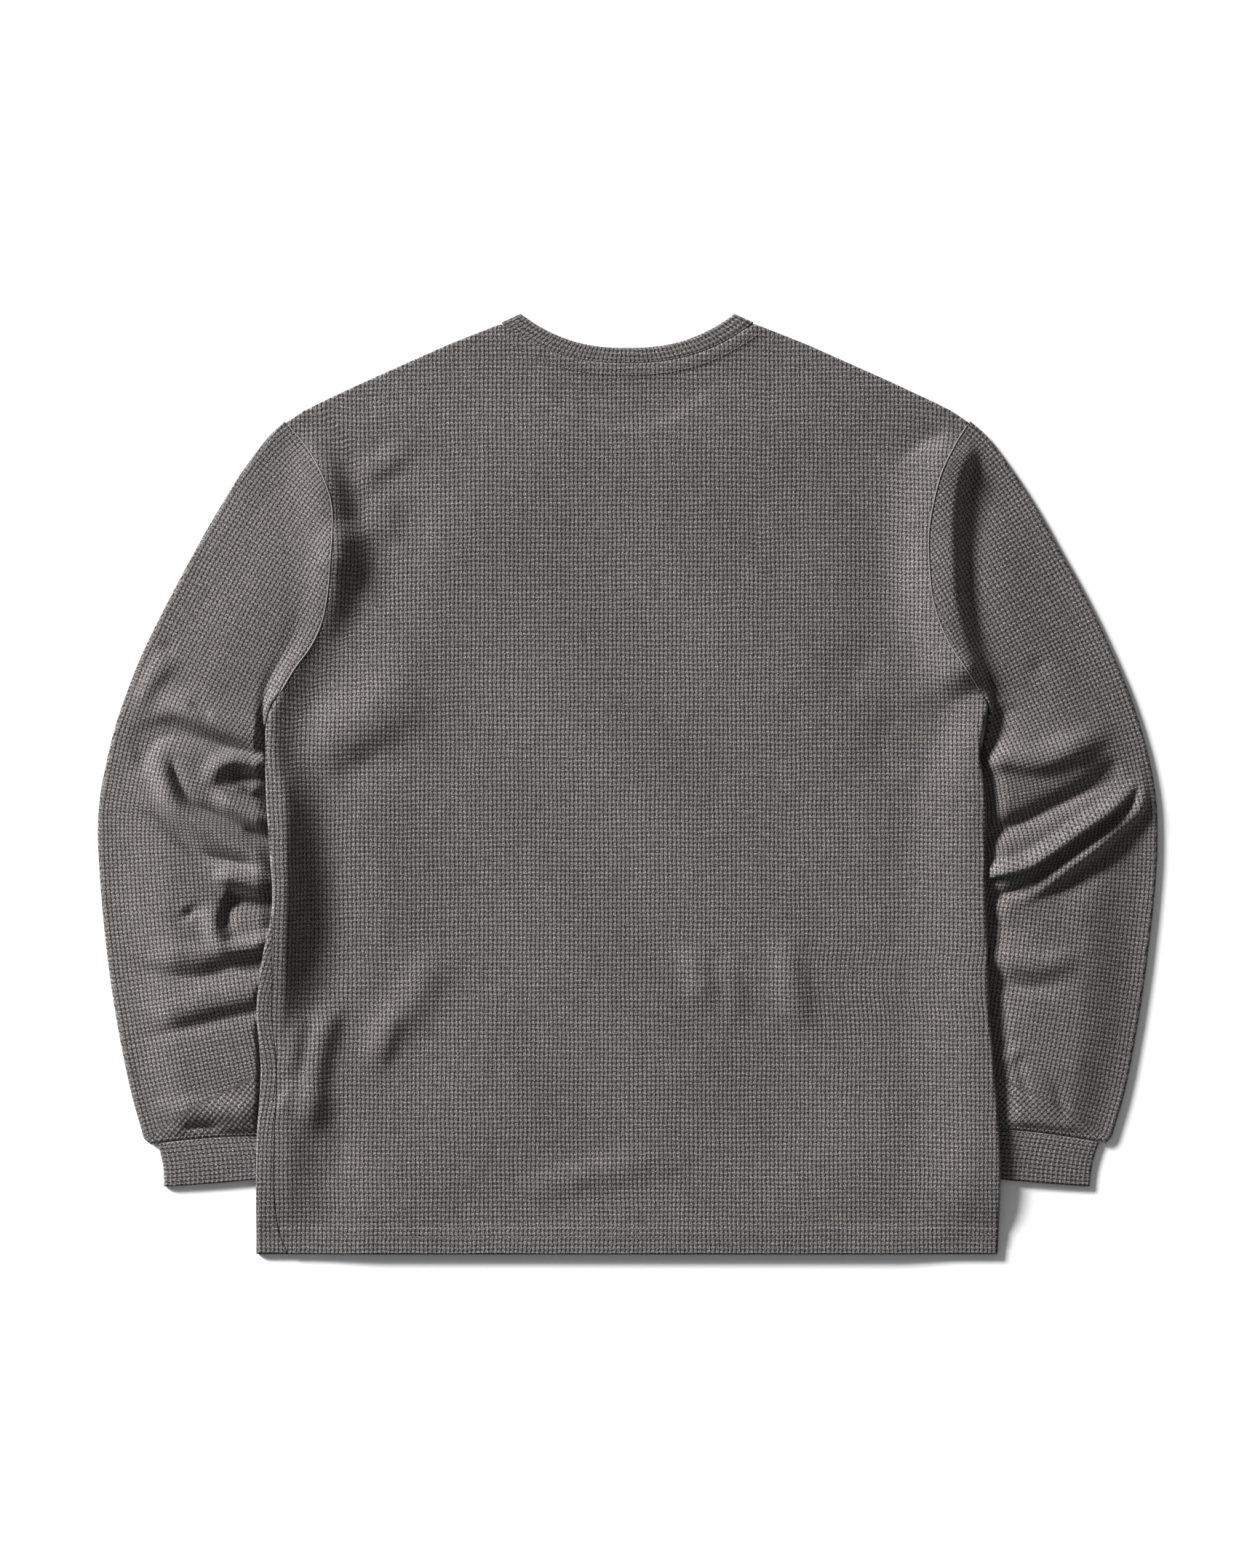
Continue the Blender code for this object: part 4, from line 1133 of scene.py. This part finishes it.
class THERMALTOP_OT_stage(bpy.types.Operator):
    """Sets the white floor, the light from the upper left and the camera straight above"""
    bl_idname = "thermal_top.stage"
    bl_label = "Stage"

    def execute(self, context):
        settings = context.scene.thermal_stage
        bpy.ops.object.select_all(action="DESELECT")
        bpy.ops.mesh.primitive_plane_add(size=settings.floor_size)
        floor = context.object
        floor.name = "floor"
        floor.data.materials.append(white_paper())
        # A low sun from the upper left draws the folds, and a lamp at the left fills what it misses.
        sun = bpy.data.lights.new("key", "SUN")
        sun.energy = 6.8
        sun.angle = np.radians(15)
        key = bpy.data.objects.new("key", sun)
        key.rotation_euler = Vector((0.71, -0.60, -0.385)).to_track_quat("-Z", "Y").to_euler()
        context.scene.collection.objects.link(key)
        lamp = bpy.data.lights.new("side", "AREA")
        lamp.energy = 66.0
        lamp.size = 0.8
        side = bpy.data.objects.new("side", lamp)
        side.location = (-2.3, 0.9, 0.95)
        side.rotation_euler = (Vector((-1.0, -1.2, 0)) - side.location).to_track_quat("-Z", "Y").to_euler()
        context.scene.collection.objects.link(side)
        world = bpy.data.worlds.new("studio")
        world.use_nodes = True
        background = world.node_tree.nodes["Background"]
        background.inputs["Color"].default_value = colour("#ffffff")
        background.inputs["Strength"].default_value = 0.21
        context.scene.world = world
        context.scene.view_settings.view_transform = "Standard"
        lens = bpy.data.cameras.new("camera")
        lens.sensor_width = 36
        lens.lens = lens.sensor_width * settings.camera_height / settings.view_height
        camera = bpy.data.objects.new("camera", lens)
        camera.location = (0, 0, settings.camera_height)
        context.scene.collection.objects.link(camera)
        context.scene.camera = camera
        return {"FINISHED"}


def white_paper():
    """Matt background paper: an even white that takes only a soft shadow."""
    material = bpy.data.materials.new("white_paper")
    material.use_nodes = True
    shader = material.node_tree.nodes["Principled BSDF"]
    shader.inputs["Base Color"].default_value = colour("#fdfdfd")
    shader.inputs["Roughness"].default_value = 0.9
    return material


class THERMALTOP_PT_panel(bpy.types.Panel):
    """Lists the garment's pieces and their settings"""
    bl_label = "Thermal top"
    bl_idname = "THERMALTOP_PT_panel"
    bl_space_type = "VIEW_3D"
    bl_region_type = "UI"
    bl_category = "Thermal top"

    def draw(self, context):
        for group in (context.scene.thermal_knit, context.scene.thermal_stage):
            for key in group.__annotations__:
                self.layout.prop(group, key)
        for operator in OPERATORS:
            self.layout.operator(operator.bl_idname)


OPERATORS = (THERMALTOP_OT_body, THERMALTOP_OT_sleeves, THERMALTOP_OT_cuffs, THERMALTOP_OT_neckband,
             THERMALTOP_OT_stitching, THERMALTOP_OT_stage)
CLASSES = (KnitSettings, StageSettings, *OPERATORS, THERMALTOP_PT_panel)


def register():
    for cls in CLASSES:
        bpy.utils.register_class(cls)
    bpy.types.Scene.thermal_knit = bpy.props.PointerProperty(type=KnitSettings)
    bpy.types.Scene.thermal_stage = bpy.props.PointerProperty(type=StageSettings)


def unregister():
    del bpy.types.Scene.thermal_knit, bpy.types.Scene.thermal_stage
    for cls in reversed(CLASSES):
        bpy.utils.unregister_class(cls)


def main():
    register()
    bpy.ops.thermal_top.body()
    bpy.ops.thermal_top.sleeves()
    bpy.ops.thermal_top.cuffs()
    bpy.ops.thermal_top.neckband()
    bpy.ops.thermal_top.stitching()
    bpy.ops.thermal_top.stage()


if __name__ == "__main__":
    main()
